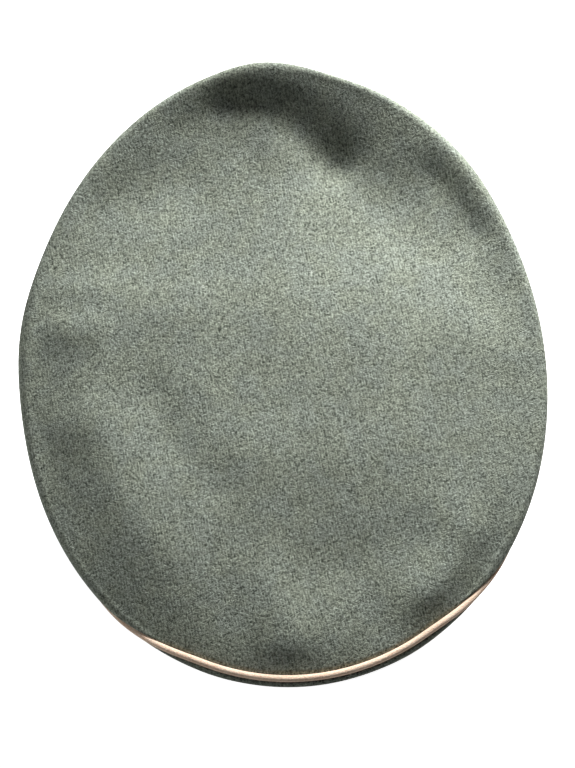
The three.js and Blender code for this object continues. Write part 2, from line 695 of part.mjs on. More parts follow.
add(strap, 'chin_strap_left', strapHalf(1, true), strapLeather);
add(strap, 'chin_strap_right', strapHalf(-1, false), strapLeather);
for (const [name, side] of [['left', 1], ['right', -1]]) {
  const mesh = add(strap, `strap_slider_${name}`, slider(), buttonMetal);
  mesh.position.copy(SLIDER_CENTRE);
  mesh.rotation.z = degToRad(side * SLIDER_ANGLE);
}
strap.position.copy(PIVOT);
strap.rotation.x = degToRad(STRAP_DROOP);
cap.add(strap);

// ---- Standing on a table -----------------------------------------------------------------------

// The least lean, about the heel, that lifts every point of the visor's binding off the table.
function lean() {
  const { position } = binding.attributes;
  let most = 0;
  for (let i = 0; i < position.count; i++) {
    most = Math.max(most, Math.atan2(-position.getZ(i), HEEL.y - position.getY(i)));
  }
  return most;
}

cap.rotation.x = -lean();
const box = new THREE.Box3().setFromObject(cap, true);
const middle = box.getCenter(vec());
cap.position.set(-middle.x, -middle.y, -box.min.z);

const peakedCap = new THREE.Group();
peakedCap.add(cap);

export default peakedCap;
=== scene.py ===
# A military peaked cap standing on a pale table, seen from behind and above.
#
# Shapes are made in the cap's own level frame, in millimetres: +X is the wearer's left, -Y the
# front, and z = 0 the foot of the band. An angle round the cap is 0 at the front, 90 at the
# wearer's left and 180 at the back. Sizes and places are measured on the CAD nodes.

import json

import bpy
import numpy as np
from mathutils import Matrix, Vector

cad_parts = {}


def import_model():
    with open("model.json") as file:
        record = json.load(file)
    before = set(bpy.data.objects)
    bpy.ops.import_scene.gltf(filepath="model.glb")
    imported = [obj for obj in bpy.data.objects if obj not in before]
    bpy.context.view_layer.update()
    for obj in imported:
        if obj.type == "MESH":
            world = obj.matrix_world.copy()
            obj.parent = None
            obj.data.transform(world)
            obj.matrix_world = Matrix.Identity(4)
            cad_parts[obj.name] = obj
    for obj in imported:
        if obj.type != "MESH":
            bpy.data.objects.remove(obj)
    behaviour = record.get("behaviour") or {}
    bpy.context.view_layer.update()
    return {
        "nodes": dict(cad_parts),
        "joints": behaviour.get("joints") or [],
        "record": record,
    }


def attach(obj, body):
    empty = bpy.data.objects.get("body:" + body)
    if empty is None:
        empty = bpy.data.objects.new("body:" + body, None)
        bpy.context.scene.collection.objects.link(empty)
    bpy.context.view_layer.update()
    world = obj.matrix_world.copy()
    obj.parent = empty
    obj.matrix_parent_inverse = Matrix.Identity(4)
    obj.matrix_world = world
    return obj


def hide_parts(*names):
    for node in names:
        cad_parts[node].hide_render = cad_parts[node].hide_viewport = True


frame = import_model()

MM = 0.001

# ---- The cap's own frame ----

OPENING = next(m for m in frame["record"]["mounts"] if m["name"] == "head_opening")
ORIGIN = np.array(OPENING["pos_m"])
UP = -np.array(OPENING["axis"])
AXES = np.array([(1, 0, 0), np.cross(UP, (1, 0, 0)), UP])


def to_row(points):
    """Points of the cap's own frame, in millimetres, as points of the row frame, in metres."""
    return ORIGIN + np.asarray(points) * MM @ AXES


def node_points(name):
    """The vertices of a CAD node in the cap's own frame, in millimetres."""
    points = np.array([v.co for v in frame["nodes"][name].data.vertices])
    return (points - ORIGIN) @ AXES.T / MM


def measure_band():
    """The band's half length and half width, and its cloth's lowest and highest places."""
    cover = node_points("band_cover")
    return cover[:, 1].max(), cover[:, 0].max(), cover[:, 2].min(), cover[:, 2].max()


def measure_ring():
    """The wire's middle at the front, the back and the wearer's left."""
    wire = node_points("crown_wire")
    in_middle = np.abs(wire[:, 0]) < 1
    front = wire[in_middle & (wire[:, 1] < 0)].mean(0)
    back = wire[in_middle & (wire[:, 1] > 0)].mean(0)
    abeam = np.abs(wire[:, 1] - (front[1] + back[1]) / 2) < 2
    left = wire[abeam & (wire[:, 0] > 0)].mean(0)
    return front, back, left


BAND_HALF_LENGTH, BAND_HALF_WIDTH, COVER_LOW, BAND_TOP = measure_band()
RING_FRONT, RING_BACK, RING_LEFT = measure_ring()
RING_HALF_LENGTH = (RING_BACK[1] - RING_FRONT[1]) / 2
RING_FORWARD = -(RING_BACK[1] + RING_FRONT[1]) / 2
RING_HALF_WIDTH = RING_LEFT[0]
RING_EGG = 0.013  # how much narrower the ring is in front
RING_PITCH = (RING_FRONT[2] - RING_BACK[2]) / 2
RING_HEIGHT = (RING_FRONT[2] + RING_BACK[2]) / 4 + RING_LEFT[2] / 2
RING_SADDLE = RING_HEIGHT - RING_LEFT[2]

# The band is four arcs: a nose in front and behind, and a flatter one on each side.
NOSE_RADIUS = 81
NOSE_CENTRE = BAND_HALF_LENGTH - NOSE_RADIUS
SIDE_RADIUS = (BAND_HALF_WIDTH**2 + NOSE_CENTRE**2 - NOSE_RADIUS**2) / (
    2 * (BAND_HALF_WIDTH - NOSE_RADIUS)
)
SIDE_CENTRE = SIDE_RADIUS - BAND_HALF_WIDTH
JOIN_COSINE = NOSE_CENTRE / np.hypot(NOSE_CENTRE, SIDE_CENTRE)

CLOTH = 1.5  # thick
PIPING_RADIUS = 1.5
ROLL_RADIUS = 5.1  # of the cloth's face where it turns over the wire
CROWN_SAG = 3  # how far the crown hangs in its middle
FRONT_DIP = 30  # how strongly it is hollowed behind the raised front
ALL_ROUND = np.arange(0, 360, 1.0)
VERTICAL = np.array((0, 0, 1.0))


def smoothstep(value, low, high):
    t = np.clip((np.asarray(value, float) - low) / (high - low), 0, 1)
    return t * t * (3 - 2 * t)


def lerp(a, b, t):
    return a + (b - a) * t


def bend(start, towards, end, t):
    """A curve that leaves start for towards, and comes from there to end."""
    return start * (1 - t) ** 2 + towards * 2 * t * (1 - t) + end * t**2


def unit(vectors):
    return vectors / np.maximum(np.linalg.norm(vectors, axis=-1, keepdims=True), 1e-12)


def outwards(angle):
    """The level direction in which a place of the band faces."""
    a = np.radians(angle)
    return np.stack([np.sin(a), -np.cos(a), np.zeros_like(a)], -1)


def band_at(angle, inset, z):
    """The point of the band whose face looks towards that angle, this far inside its outer face."""
    angle, inset, z = np.broadcast_arrays(np.asarray(angle, float), inset, z)
    c, s = np.cos(np.radians(angle)), np.sin(np.radians(angle))
    on_nose = np.abs(c) > JOIN_COSINE
    radius = np.where(on_nose, NOSE_RADIUS, SIDE_RADIUS) - inset
    x = radius * s - np.where(on_nose, 0, np.sign(s) * SIDE_CENTRE)
    y = -radius * c - np.where(on_nose, np.sign(c) * NOSE_CENTRE, 0)
    return np.stack([x, y, z], -1)


def band_wall(angles, inset, heights):
    """A wall's grid at that inset, with a row for each height, from low to high."""
    return band_at(np.asarray(angles, float)[:, None], inset, np.asarray(heights, float))


def ring_at(angle):
    """The middle of the wire."""
    a = np.radians(angle)
    return np.stack([
        RING_HALF_WIDTH * np.sin(a) * (1 - RING_EGG * np.cos(a)),
        -RING_FORWARD - RING_HALF_LENGTH * np.cos(a),
        RING_HEIGHT + RING_PITCH * np.cos(a) + RING_SADDLE * np.cos(2 * a),
    ], -1)


def ring_outwards(angle):
    """The level direction square to the wire, away from the crown."""
    a = np.radians(angle)
    across = -RING_HALF_WIDTH * (np.cos(a) - RING_EGG * np.cos(2 * a))
    return unit(np.stack([RING_HALF_LENGTH * np.sin(a), across, np.zeros_like(a)], -1))


def beside_ring(angle, radius, turn):
    """A point beside the wire: turn is 0 straight outwards and 90 straight up."""
    angle, radius, turn = np.broadcast_arrays(np.asarray(angle, float), radius, turn)
    t = np.radians(turn)
    out = ring_at(angle) + ring_outwards(angle) * (radius * np.cos(t))[..., None]
    out[..., 2] += radius * np.sin(t)
    return out


def stretched(angle, share, inset, below):
    """A point of a sheet stretched over the ring: share is 1 at the ring and 0 in the middle."""
    angle, share = np.broadcast_arrays(np.asarray(angle, float), share)
    rim = ring_at(angle) - ring_outwards(angle) * inset
    c, c2 = np.cos(np.radians(angle)), np.cos(2 * np.radians(angle))
    sag = CROWN_SAG * (1 - share**4) + FRONT_DIP * share**3 * (1 - share) * np.maximum(0, c)
    height = RING_HEIGHT + RING_PITCH * share * c + RING_SADDLE * share**2 * c2
    return np.stack(
        [rim[..., 0] * share, lerp(-RING_FORWARD, rim[..., 1], share), height - sag - below], -1
    )


# ---- Meshes ----


def placed(name, data):
    """A new object in the scene."""
    made = bpy.data.objects.new(name, data)
    bpy.context.scene.collection.objects.link(made)
    return made


class Build:
    """One piece's mesh, gathered from closed shapes. UVs are lengths on the surface, in metres."""

    def __init__(self, points, uvs, faces):
        self.points, self.uvs, self.faces, self.finishes = [], [], [], []
        self.count = 0
        self.add(points, uvs, faces)

    def add(self, points, uvs, faces, finish=0):
        points = np.asarray(points).reshape(-1, 3)
        self.points.append(points)
        self.uvs.append(np.asarray(uvs).reshape(-1, 2) * MM)
        self.faces += [[int(i) + self.count for i in face] for face in faces]
        self.finishes += [finish] * len(faces)
        self.count += len(points)

    def make(self, name, replaces, slot, *materials, body="cap"):
        """The finished piece, attached to its body, with the CAD node it replaces hidden."""
        mesh = bpy.data.meshes.new(name)
        mesh.from_pydata(to_row(np.concatenate(self.points)).tolist(), [], self.faces)
        for material in materials:
            mesh.materials.append(material)
        mesh.polygons.foreach_set("material_index", self.finishes)
        mesh.polygons.foreach_set("use_smooth", [True] * len(self.faces))
        corners = np.zeros(len(mesh.loops), np.int32)
        mesh.loops.foreach_get("vertex_index", corners)
        uvs = np.concatenate(self.uvs)[corners]
        mesh.uv_layers.new(name="UVMap").data.foreach_set("uv", uvs.ravel())
        mesh.validate()
        piece = placed(name, mesh)
        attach(piece, body)
        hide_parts(replaces)
        return piece


def quads(index):
    """Faces between the rows of a grid of vertex numbers."""
    corners = [index[:-1, :-1], index[1:, :-1], index[1:, 1:], index[:-1, 1:]]
    return np.stack(corners, -1).reshape(-1, 4)


def wrapped(index, axis):
    return np.concatenate([index, index.take([0], axis)], axis)


def joined(n, size, closed):
    """A grid of vertex numbers and its faces, joined round each row, and end to end if closed."""
    index = np.arange(n * size).reshape(n, size)
    around = wrapped(index, 1)
    return index, quads(wrapped(around, 0) if closed else around).tolist()


def fans(index):
    """Faces from a ring grid's first and last columns to the two points that follow it."""
    after = np.roll(index, -1, 0)
    first = [[index.size, b, a] for a, b in zip(index[:, 0], after[:, 0])]
    return first + [[index.size + 1, a, b] for a, b in zip(index[:, -1], after[:, -1])]


def lengths(points, axis):
    """Distance along each line of points, from its start."""
    steps = np.linalg.norm(np.diff(points, axis=axis), axis=-1)
    pad = [(0, 0)] * steps.ndim
    pad[axis] = (1, 0)
    return np.pad(np.cumsum(steps, axis=axis), pad)


def normals(grid, closed):
    """Directions out of a grid's face. Stations go round, and rows go up a wall or in on a top."""
    if closed:
        along = np.roll(grid, -1, 0) - np.roll(grid, 1, 0)
    else:
        along = np.gradient(grid, axis=0)
    return unit(np.cross(along, np.gradient(grid, axis=1)))


def behind(grid, depth, closed=False):
    return grid - normals(grid, closed) * depth


# Rows of stitches: their pitch, their length and their thread's radius.
SIDE_STITCH = (3.2, 2.1, 0.22)
SWEATBAND_STITCH = (3.4, 2.3, 0.25)
TAB_STITCH = (2.6, 1.8, 0.2)
SHIELD_STITCH = (3.2, 2.2, 0.22)
VISOR_STITCH = (2.6, 1.8, 0.22)
EDGE_TURNS = (45, 90, 135)  # of the points round a sheet's edge, between its two faces
EDGE = len(EDGE_TURNS)


def half_round(outer, inner, beside, degrees):
    """Rows of points round a sheet's edge, where 0 is on its outer face and 90 is outermost.
    beside is the next place of the outer face, away from the edge."""
    half, middle = (outer - inner) / 2, (outer + inner) / 2
    ahead = unit(outer - beside) * np.linalg.norm(half, axis=-1, keepdims=True)
    turns = np.radians(degrees)[:, None]
    return middle[:, None] + half[:, None] * np.cos(turns) + ahead[:, None] * np.sin(turns)


def round_ends(outer, inner):
    """Adds stations past both ends, where the sheet's thickness closes over a half round."""

    def stations(end, beside, turns):
        return half_round(outer[end], inner[end], outer[beside], turns).swapaxes(0, 1)

    outers = [stations(0, 1, (80, 58, 30)), outer, stations(-1, -2, (30, 58, 80))]
    inners = [stations(0, 1, (100, 122, 150)), inner, stations(-1, -2, (150, 122, 100))]
    return np.concatenate(outers), np.concatenate(inners)


def shell(outer, inner, closed=False):
    """A sheet between two grids, with rounded edges: a ring if it is closed."""
    if not closed:
        outer, inner = round_ends(outer, inner)
    far_edge = half_round(outer[:, -1], inner[:, -1], outer[:, -2], EDGE_TURNS)
    near_edge = half_round(outer[:, 0], inner[:, 0], outer[:, 1], EDGE_TURNS[::-1])
    section = np.concatenate([outer, far_edge, inner[:, ::-1], near_edge], 1)
    m = outer.shape[1]
    uvs = np.stack([np.repeat(lengths(outer.mean(1), 0)[:, None], m, 1), lengths(outer, 1)], -1)
    edges = [np.repeat(uvs[:, k, None], EDGE, 1) for k in (-1, 0)]
    section_uvs = np.concatenate([uvs, edges[0], uvs[:, ::-1], edges[1]], 1)
    index, faces = joined(*section.shape[:2], closed)
    if not closed:
        for row, reverse in ((index[0], False), (index[-1], True)):
            top, far, under, near = np.split(row, (m, m + EDGE, 2 * m + EDGE))
            under = under[::-1]
            caps = [[top[j], top[j + 1], under[j + 1], under[j]] for j in range(m - 1)]
            caps += [[top[-1], *far, under[-1]], [under[0], *near, top[0]]]
            faces += [face[::-1] if reverse else face for face in caps]
    return Build(section, section_uvs, faces)


def sheet(outer, depth, closed=False):
    """A sheet this deep behind its face."""
    return shell(outer, behind(outer, depth, closed), closed)


def disc(outer, inner, unrolled=None):
    """A sheet that covers a ring. The grids' rows run from the rim in to one shared point.
    unrolled is where each point of the outer grid lies when the sheet is spread flat."""
    edge = half_round(outer[:, 0], inner[:, 0], outer[:, 1], EDGE_TURNS[::-1])
    section = np.concatenate([inner[:, -2::-1], edge, outer[:, :-1]], 1)
    centres = np.stack([inner[:, -1].mean(0), outer[:, -1].mean(0)])
    points = np.concatenate([section.reshape(-1, 3), centres])
    index = np.arange(len(points) - 2).reshape(section.shape[:2])
    flat = points[:, :2].copy()
    if unrolled is not None:
        rim = np.repeat(unrolled[:, :1], EDGE, 1)
        flat[:-2] = np.concatenate([unrolled[:, -2::-1], rim, unrolled[:, :-1]], 1).reshape(-1, 2)
    return Build(points, flat, quads(wrapped(index, 0)).tolist() + fans(index))


def tube(centres, sides, radius, count, closed=False):
    """A round rod along centres that lie about level. sides are the level directions across it."""
    radius = np.broadcast_to(radius, len(centres))
    if not closed:
        turns = np.radians((25, 50, 75))
        ends = []
        for end, beside in ((0, 1), (-1, -2)):
            ahead = unit(centres[end] - centres[beside])
            ends.append([centres[end] + ahead * radius[end] * np.sin(t) for t in turns])
        centres = np.concatenate([ends[0][::-1], centres, ends[1]])
        sides = np.pad(sides, [(len(turns), len(turns)), (0, 0)], "edge")
        shrink = np.cos(turns)
        radius = np.concatenate([radius[0] * shrink[::-1], radius, radius[-1] * shrink])
    t = np.radians(np.arange(count) * 360 / count)[:, None]
    section = sides[:, None] * np.cos(t) + VERTICAL * np.sin(t)
    points = centres[:, None] + section * radius[:, None, None]
    index, faces = joined(len(points), count, closed)
    if not closed:
        faces += [index[0].tolist(), index[-1][::-1].tolist()]
    u = np.repeat(lengths(centres, 0)[:, None], count, 1)
    v = radius[:, None] * t[:, 0]
    return Build(points, np.stack([u, v], -1), faces)


def stitches(build, path, ups, pitch, length, radius):
    """A row of separate stitches on a path, each a short thread whose ends dip into the cloth.
    They take the piece's second material."""
    along = lengths(path, 0)
    places = np.arange(pitch / 2, along[-1] - pitch / 2, pitch)

    def at(values, where):
        return np.stack([np.interp(where, along, values[:, k]) for k in range(3)], -1)

    shares = np.array([-1, -0.8, 0, 0.8, 1])
    widths = np.array([0.3, 0.85, 1, 0.85, 0.3])
    rise = np.array([-0.4, 0.15, 0.45, 0.15, -0.4])
    centres = np.stack([at(path, row) for row in places[:, None] + shares * length / 2])
    up = np.repeat(unit(at(ups, places))[:, None], len(shares), 1)
    ahead = unit(centres[:, -1] - centres[:, 0])[:, None]
    side = unit(np.cross(up, ahead))
    centres = centres + up * (rise * radius)[None, :, None]
    turns = np.radians(np.arange(0, 360, 60))
    ring = side[:, :, None] * np.cos(turns)[:, None] + up[:, :, None] * np.sin(turns)[:, None]
    points = centres[:, :, None] + ring * (widths * radius)[None, :, None, None]
    index = np.arange(len(shares) * len(turns)).reshape(len(shares), len(turns))
    one = quads(wrapped(index, 1))[:, ::-1].tolist()
    one += [index[0][::-1].tolist(), index[-1].tolist()]
    faces = [[i + index.size * k for i in face] for k in range(len(places)) for face in one]
    build.add(points, np.zeros((points.size // 3, 2)), faces, 1)


# ---- Materials ----


def linear(colour):
    """A colour given from 0 to 255 as on a screen, for a shader's socket."""
    c = np.array(colour) / 255
    return (*np.where(c <= 0.04045, c / 12.92, ((c + 0.055) / 1.055) ** 2.4), 1)


class Finish:
    """A material made of nodes, with short names for the ones used here."""

    def __init__(self, name, by="UV"):
        self.material = bpy.data.materials.new(name)
        self.material.use_nodes = True
        self.tree = self.material.node_tree
        self.coordinates = self.node("TexCoord", by)

    def node(self, kind, output, settings=None, **sockets):
        """A new node's output. A socket's name has _ in place of each space."""
        made = self.tree.nodes.new("ShaderNode" + kind)
        for key, value in (settings or {}).items():
            setattr(made, key, value)
        for key, value in sockets.items():
            self.put(made.inputs[key.replace("_", " ")], value)
        return made.outputs[output]

    def put(self, socket, value):
        if isinstance(value, bpy.types.NodeSocket):
            self.tree.links.new(value, socket)
        else:
            socket.default_value = value

    def place(self, size, turn=0, shift=0):
        """The coordinates shifted in metres, turned, and divided by a size in millimetres."""
        return self.node(
            "Mapping",
            "Vector",
            {"vector_type": "TEXTURE"},
            Vector=self.coordinates,
            Location=tuple(np.broadcast_to(shift, 3).astype(float)),
            Rotation=(0, 0, np.radians(turn)),
            Scale=tuple(np.broadcast_to(size, 3) * MM),
        )

    def noise(self, size, detail=2, roughness=0.5, distortion=0, turn=0, shift=0):
        vector = self.place(size, turn, shift)
        sockets = {"Detail": detail, "Roughness": roughness, "Distortion": distortion}
        return self.node("TexNoise", "Fac", Vector=vector, Scale=1, **sockets)

    def bands(self, vector, distortion, detail):
        sockets = {"Distortion": distortion, "Detail": detail, "Scale": 1}
        return self.node("TexWave", "Fac", {"wave_type": "BANDS"}, Vector=vector, **sockets)

    def cells(self, size, feature="SMOOTH_F1", **sockets):
        """The distance to the nearest of many points, about this far apart."""
        vector = self.place(size)
        sockets["Scale"] = 1
        return self.node("TexVoronoi", "Distance", {"feature": feature}, Vector=vector, **sockets)

    def spread(self, value, low, high, to_low=0, to_high=1, curve="LINEAR"):
        """Takes low to to_low and high to to_high, and stays between them."""
        ends = {"From_Min": low, "From_Max": high, "To_Min": to_low, "To_Max": to_high}
        return self.node("MapRange", "Result", {"interpolation_type": curve}, Value=value, **ends)

    def math(self, operation, a, b):
        made = self.tree.nodes.new("ShaderNodeMath")
        made.operation = operation
        self.put(made.inputs[0], a)
        self.put(made.inputs[1], b)
        return made.outputs["Value"]

    def add(self, a, b):
        return self.math("ADD", a, b)

    def times(self, a, b):
        return self.math("MULTIPLY", a, b)

    def mix(self, factor, a, b):
        """Between two colours, each a socket or three numbers from 0 to 255."""
        made = self.tree.nodes.new("ShaderNodeMix")
        made.data_type = "RGBA"
        self.put(made.inputs[0], factor)
        for k, value in ((6, a), (7, b)):
            self.put(made.inputs[k], linear(value) if isinstance(value, tuple) else value)
        return made.outputs[2]

    def blend(self, value, low, high, a, b, most=1):
        """The first colour where value is low, and this much of the second where it is high."""
        return self.mix(self.spread(value, low, high, 0, most), a, b)

    def scale(self, colour, factor):
        settings = {"operation": "SCALE"}
        return self.node("VectorMath", "Vector", settings, Vector=colour, Scale=factor)

    def bump(self, height, distance, strength=1):
        return self.node("Bump", "Normal", Height=height, Distance=distance * MM, Strength=strength)

    def finish(self, **sockets):
        surface = self.tree.nodes["Principled BSDF"]
        for key, value in sockets.items():
            self.put(surface.inputs[key.replace("_", " ")], value)
        return self.material


# Painted shade on the crown's top, behind its raised front: the middle, half sizes and turn of an
# oval.
PAINTED_SHADE_MIDDLE, PAINTED_SHADE_HALF, PAINTED_SHADE_TURN = np.array((-10, -135, 0)), (54, 34, 1000), -16


def wool(name, shades, ribs=0.3, grain=1.0, tints=None, lint=0, painted_shade=None):
    """Felted wool: short fibres lying every way over a faint twill, with a soft nap.
    tints are two shades of the same cloth, greener and bluer, that drift across it.
    The last argument is how light an oval of painted shade, behind the raised front, leaves the
    colour."""
    dark, middle, light = shades
    f = Finish(name)
    laid = [
        f.noise((2.0 * grain, 0.5 * grain, 0.7 * grain), 1, 0.5, 0.4, 35 + 62 * k, 7 * k)
        for k in range(3)
    ]
    fibres = f.math("MAXIMUM", laid[0], f.math("MAXIMUM", laid[1], laid[2]))
    tufts = f.noise(1.1 * grain, 3, 0.65, shift=3)
    clumps = f.noise(5, 2, 0.5, shift=11)
    shading = f.noise(28, 2, 0.5, shift=5)
    ribbing = f.bands(f.place(4.2, 8), 1.6, 2)
    nap = f.add(f.times(fibres, 0.55), f.times(tufts, 0.45))
    ribbed = f.add(nap, f.times(f.math("SUBTRACT", ribbing, 0.5), 0.12 * ribs))
    body = f.blend(clumps, 0.3, 0.7, dark, middle)
    if tints:
        drift = f.noise(13, 3, 0.55, shift=21)
        light = f.blend(drift, 0.4, 0.6, *tints)
    colour = f.blend(ribbed, 0.44, 0.7, body, light)
    if lint:
        specks = f.noise(1.5, 1, 0.5, 0.6, shift=17)
        colour = f.blend(specks, 0.7, 0.78, colour, (226, 232, 220), lint)
    shade = f.spread(shading, 0.3, 0.7, 0.93, 1.05)
    # Painted shade: the colour is darkened in an oval behind the raised front, its edge wandering
    # with the mottling.
    if painted_shade:
        oval = f.place(PAINTED_SHADE_HALF, PAINTED_SHADE_TURN, PAINTED_SHADE_MIDDLE * MM)
        off = f.node("VectorMath", "Value", {"operation": "LENGTH"}, Vector=oval)
        off = f.add(off, f.times(f.math("SUBTRACT", shading, 0.5), 0.5))
        shade = f.times(shade, f.spread(off, 0.5, 1.3, painted_shade, 1, "SMOOTHSTEP"))
    return f.finish(
        Base_Color=f.scale(colour, shade),
        Roughness=0.95,
        Specular_IOR_Level=0.15,
        Sheen_Weight=0.15,
        Sheen_Roughness=0.45,
        Sheen_Tint=linear(shades[2]),
        Normal=f.bump(f.add(nap, f.times(ribbing, 0.1 * ribs)), 1.2, 0.7),
    )


def thread(name, shade):
    """Twisted sewing thread."""
    f = Finish(name, "Object")
    twist = f.noise(0.25, 1)
    return f.finish(
        # Painted shade: the thread is darker where the twist's bump is low, in its grooves.
        Base_Color=f.scale(linear(shade)[:3], f.spread(twist, 0.35, 0.65, 0.6, 1)),
        Roughness=0.6,
        Normal=f.bump(twist, 0.06),
    )


def leather(name, dark, light, grain, roughness, coat=0.0, gloss=0.5):
    """Grained leather: pebbles with creases between them, paler where it is rubbed."""
    f = Finish(name)
    pebbles = f.cells(grain)
    creases = f.noise((2.4, 9, 3), 3, 0.6, turn=12)
    worn = f.noise(16, 3, 0.6, shift=4)
    colour = f.blend(worn, 0.35, 0.75, dark, light)
    return f.finish(
        Base_Color=f.blend(pebbles, 0.35, 0.8, colour, dark, 0.5),
        Roughness=f.spread(worn, 0.3, 0.75, roughness + 0.12, roughness - 0.08),
        Specular_IOR_Level=gloss,
        Coat_Weight=coat,
        Coat_Roughness=0.2,
        Normal=f.bump(f.add(f.times(pebbles, -0.6), f.times(creases, 0.5)), 0.22, 0.6),
    )


def lacquer():
    """Black lacquered fibre: a deep gloss over a slightly uneven ground, with hair scratches."""
    f = Finish("visor_lacquer")
    scratches = f.noise((42, 0.35, 1), 2, 0.7, 0.6, turn=24)
    smears = f.noise(22, 3, 0.55, shift=8)
    dust = f.noise(0.7, 1, shift=2)
    ground = f.noise(7, 1, shift=5)
    scratched = f.spread(scratches, 0.66, 0.74)
    colour = f.blend(smears, 0.35, 0.7, (9, 9, 10), (30, 30, 32), 0.35)
    return f.finish(
        Base_Color=f.blend(dust, 0.72, 0.8, colour, (120, 118, 112), 0.35),
        Roughness=f.add(f.spread(smears, 0.3, 0.7, 0.1, 0.24), f.times(scratched, 0.25)),
        Coat_Weight=0.8,
        Coat_Roughness=0.06,
        Normal=f.bump(f.add(ground, f.times(scratched, -0.06)), 0.12, 0.5),
    )


def woven(name, dark, light, size, depth=0.3):
    """Plain weave: two crossing sets of threads, each a little uneven."""
    f = Finish(name)
    weave = f.times(*(f.bands(f.place(size * 6.28, turn), 0.5, 1) for turn in (0, 90)))
    slub = f.noise((9 * size, 1.2 * size, 2 * size), 2)
    stain = f.noise(26, 3, shift=6)
    colour = f.blend(weave, 0.05, 0.6, dark, light)
    colour = f.blend(slub, 0.5, 0.75, colour, light, 0.3)
    return f.finish(
        Base_Color=f.blend(stain, 0.45, 0.8, colour, dark, 0.35),
        Roughness=0.9,
        Specular_IOR_Level=0.25,
        Normal=f.bump(weave, depth, 0.7),
    )


def satin():
    """Lining satin: fine lengthwise threads that catch the light, with soft water marks."""
    f = Finish("lining_satin")
    threads = f.noise((0.25, 6, 0.25), 2, 0.6)
    marks = f.noise(30, 3, 0.6, shift=3)
    colour = f.blend(threads, 0.35, 0.65, (150, 108, 46), (206, 164, 92))
    return f.finish(
        Base_Color=f.blend(marks, 0.5, 0.75, colour, (132, 92, 44), 0.35),
        Roughness=f.spread(threads, 0.3, 0.7, 0.32, 0.48),
        Anisotropic=0.6,
        Sheen_Weight=0.2,
        Normal=f.bump(threads, 0.08, 0.5),
    )


def sweat_leather():
    """Tan leather, darker where it has been worn, with rows of small punched holes."""
    f = Finish("sweatband_leather")
    pores = f.noise(0.5, 3, 0.7)
    worn = f.noise((30, 12, 10), 3, 0.6)
    hole = f.spread(f.cells(5, "F1", Randomness=0.0), 0.1, 0.14, 1, 0)
    colour = f.blend(worn, 0.35, 0.7, (128, 78, 44), (172, 118, 72))
    colour = f.blend(pores, 0.55, 0.75, colour, (98, 58, 32), 0.35)
    return f.finish(
        Base_Color=f.mix(hole, colour, (38, 22, 14)),
        Roughness=f.spread(worn, 0.3, 0.7, 0.55, 0.4),
        Normal=f.bump(f.math("SUBTRACT", f.times(pores, 0.3), hole), 0.4, 0.7),
    )


def metal(name, colour, dull, roughness, wear=None):
    """Worked metal: fine brushing, tarnish in patches and, with wear, brighter bare edges."""
    f = Finish(name, "Object")
    brushing = f.noise((0.3, 0.3, 6), 2, 0.6, turn=10)
    tarnish = f.noise(4, 4, 0.6, shift=9)
    shade = f.blend(tarnish, 0.45, 0.7, colour, dull)
    if wear:
        shade = f.blend(f.node("NewGeometry", "Pointiness"), 0.52, 0.6, shade, wear)
    polish = f.spread(brushing, 0.3, 0.7, roughness - 0.06, roughness + 0.08)
    return f.finish(
        Base_Color=shade,
        Metallic=1.0,
        Roughness=f.add(polish, f.spread(tarnish, 0.45, 0.75, 0, 0.15)),
        Normal=f.bump(brushing, 0.05, 0.4),
    )


def pebbled_aluminium():
    """A button's grained dome: small round pits, darker in the hollows."""
    f = Finish("button_aluminium", "Object")
    pits = f.cells(0.8)
    tarnish = f.noise(5, 3, shift=2)
    colour = f.blend(pits, 0.2, 0.7, (192, 194, 194), (112, 114, 114))
    return f.finish(
        Base_Color=f.blend(tarnish, 0.5, 0.75, colour, (92, 92, 88), 0.5),
        Metallic=1.0,
        Roughness=f.spread(tarnish, 0.3, 0.7, 0.34, 0.5),
        Normal=f.bump(f.times(pits, -1), 0.25, 0.8),
    )


def fibre(name, dark, light):
    """Pressed board of flattened strands, with dark specks."""
    f = Finish(name, "Object")
    strands = f.noise((0.5, 4, 0.5), 3, 0.7, turn=20)
    specks = f.noise(0.6, 2, shift=5)
    colour = f.blend(strands, 0.35, 0.7, dark, light)
    return f.finish(
        Base_Color=f.blend(specks, 0.62, 0.75, colour, dark, 0.5),
        Roughness=0.85,
        Normal=f.bump(strands, 0.15, 0.5),
    )


def clear_sheet():
    """Aged celluloid: clear, yellowed in patches and finely scratched."""
    f = Finish("celluloid_clear")
    scratches = f.noise((24, 0.4, 1), 2, 0.7, turn=38)
    age = f.noise(20, 3, shift=4)
    return f.finish(
        Base_Color=f.blend(age, 0.3, 0.7, (244, 236, 206), (226, 204, 148)),
        Roughness=f.spread(scratches, 0.55, 0.7, 0.08, 0.3),
        Transmission_Weight=0.75,
        IOR=1.5,
        Normal=f.bump(scratches, 0.04, 0.4),
    )


# Colours are given from 0 to 255: the dark, middle and light shades of a cloth's fibres, or the
# dark and light ones of a leather, a weave or a board.
CROWN_WOOL = wool(
    "crown_wool",
    ((58, 63, 55), (92, 97, 86), (190, 197, 182)),
    tints=((191, 199, 181), (189, 198, 185)),
    lint=0.45,
    # Painted shade behind the raised front keeps this share of the colour.
    painted_shade=0.68,
)
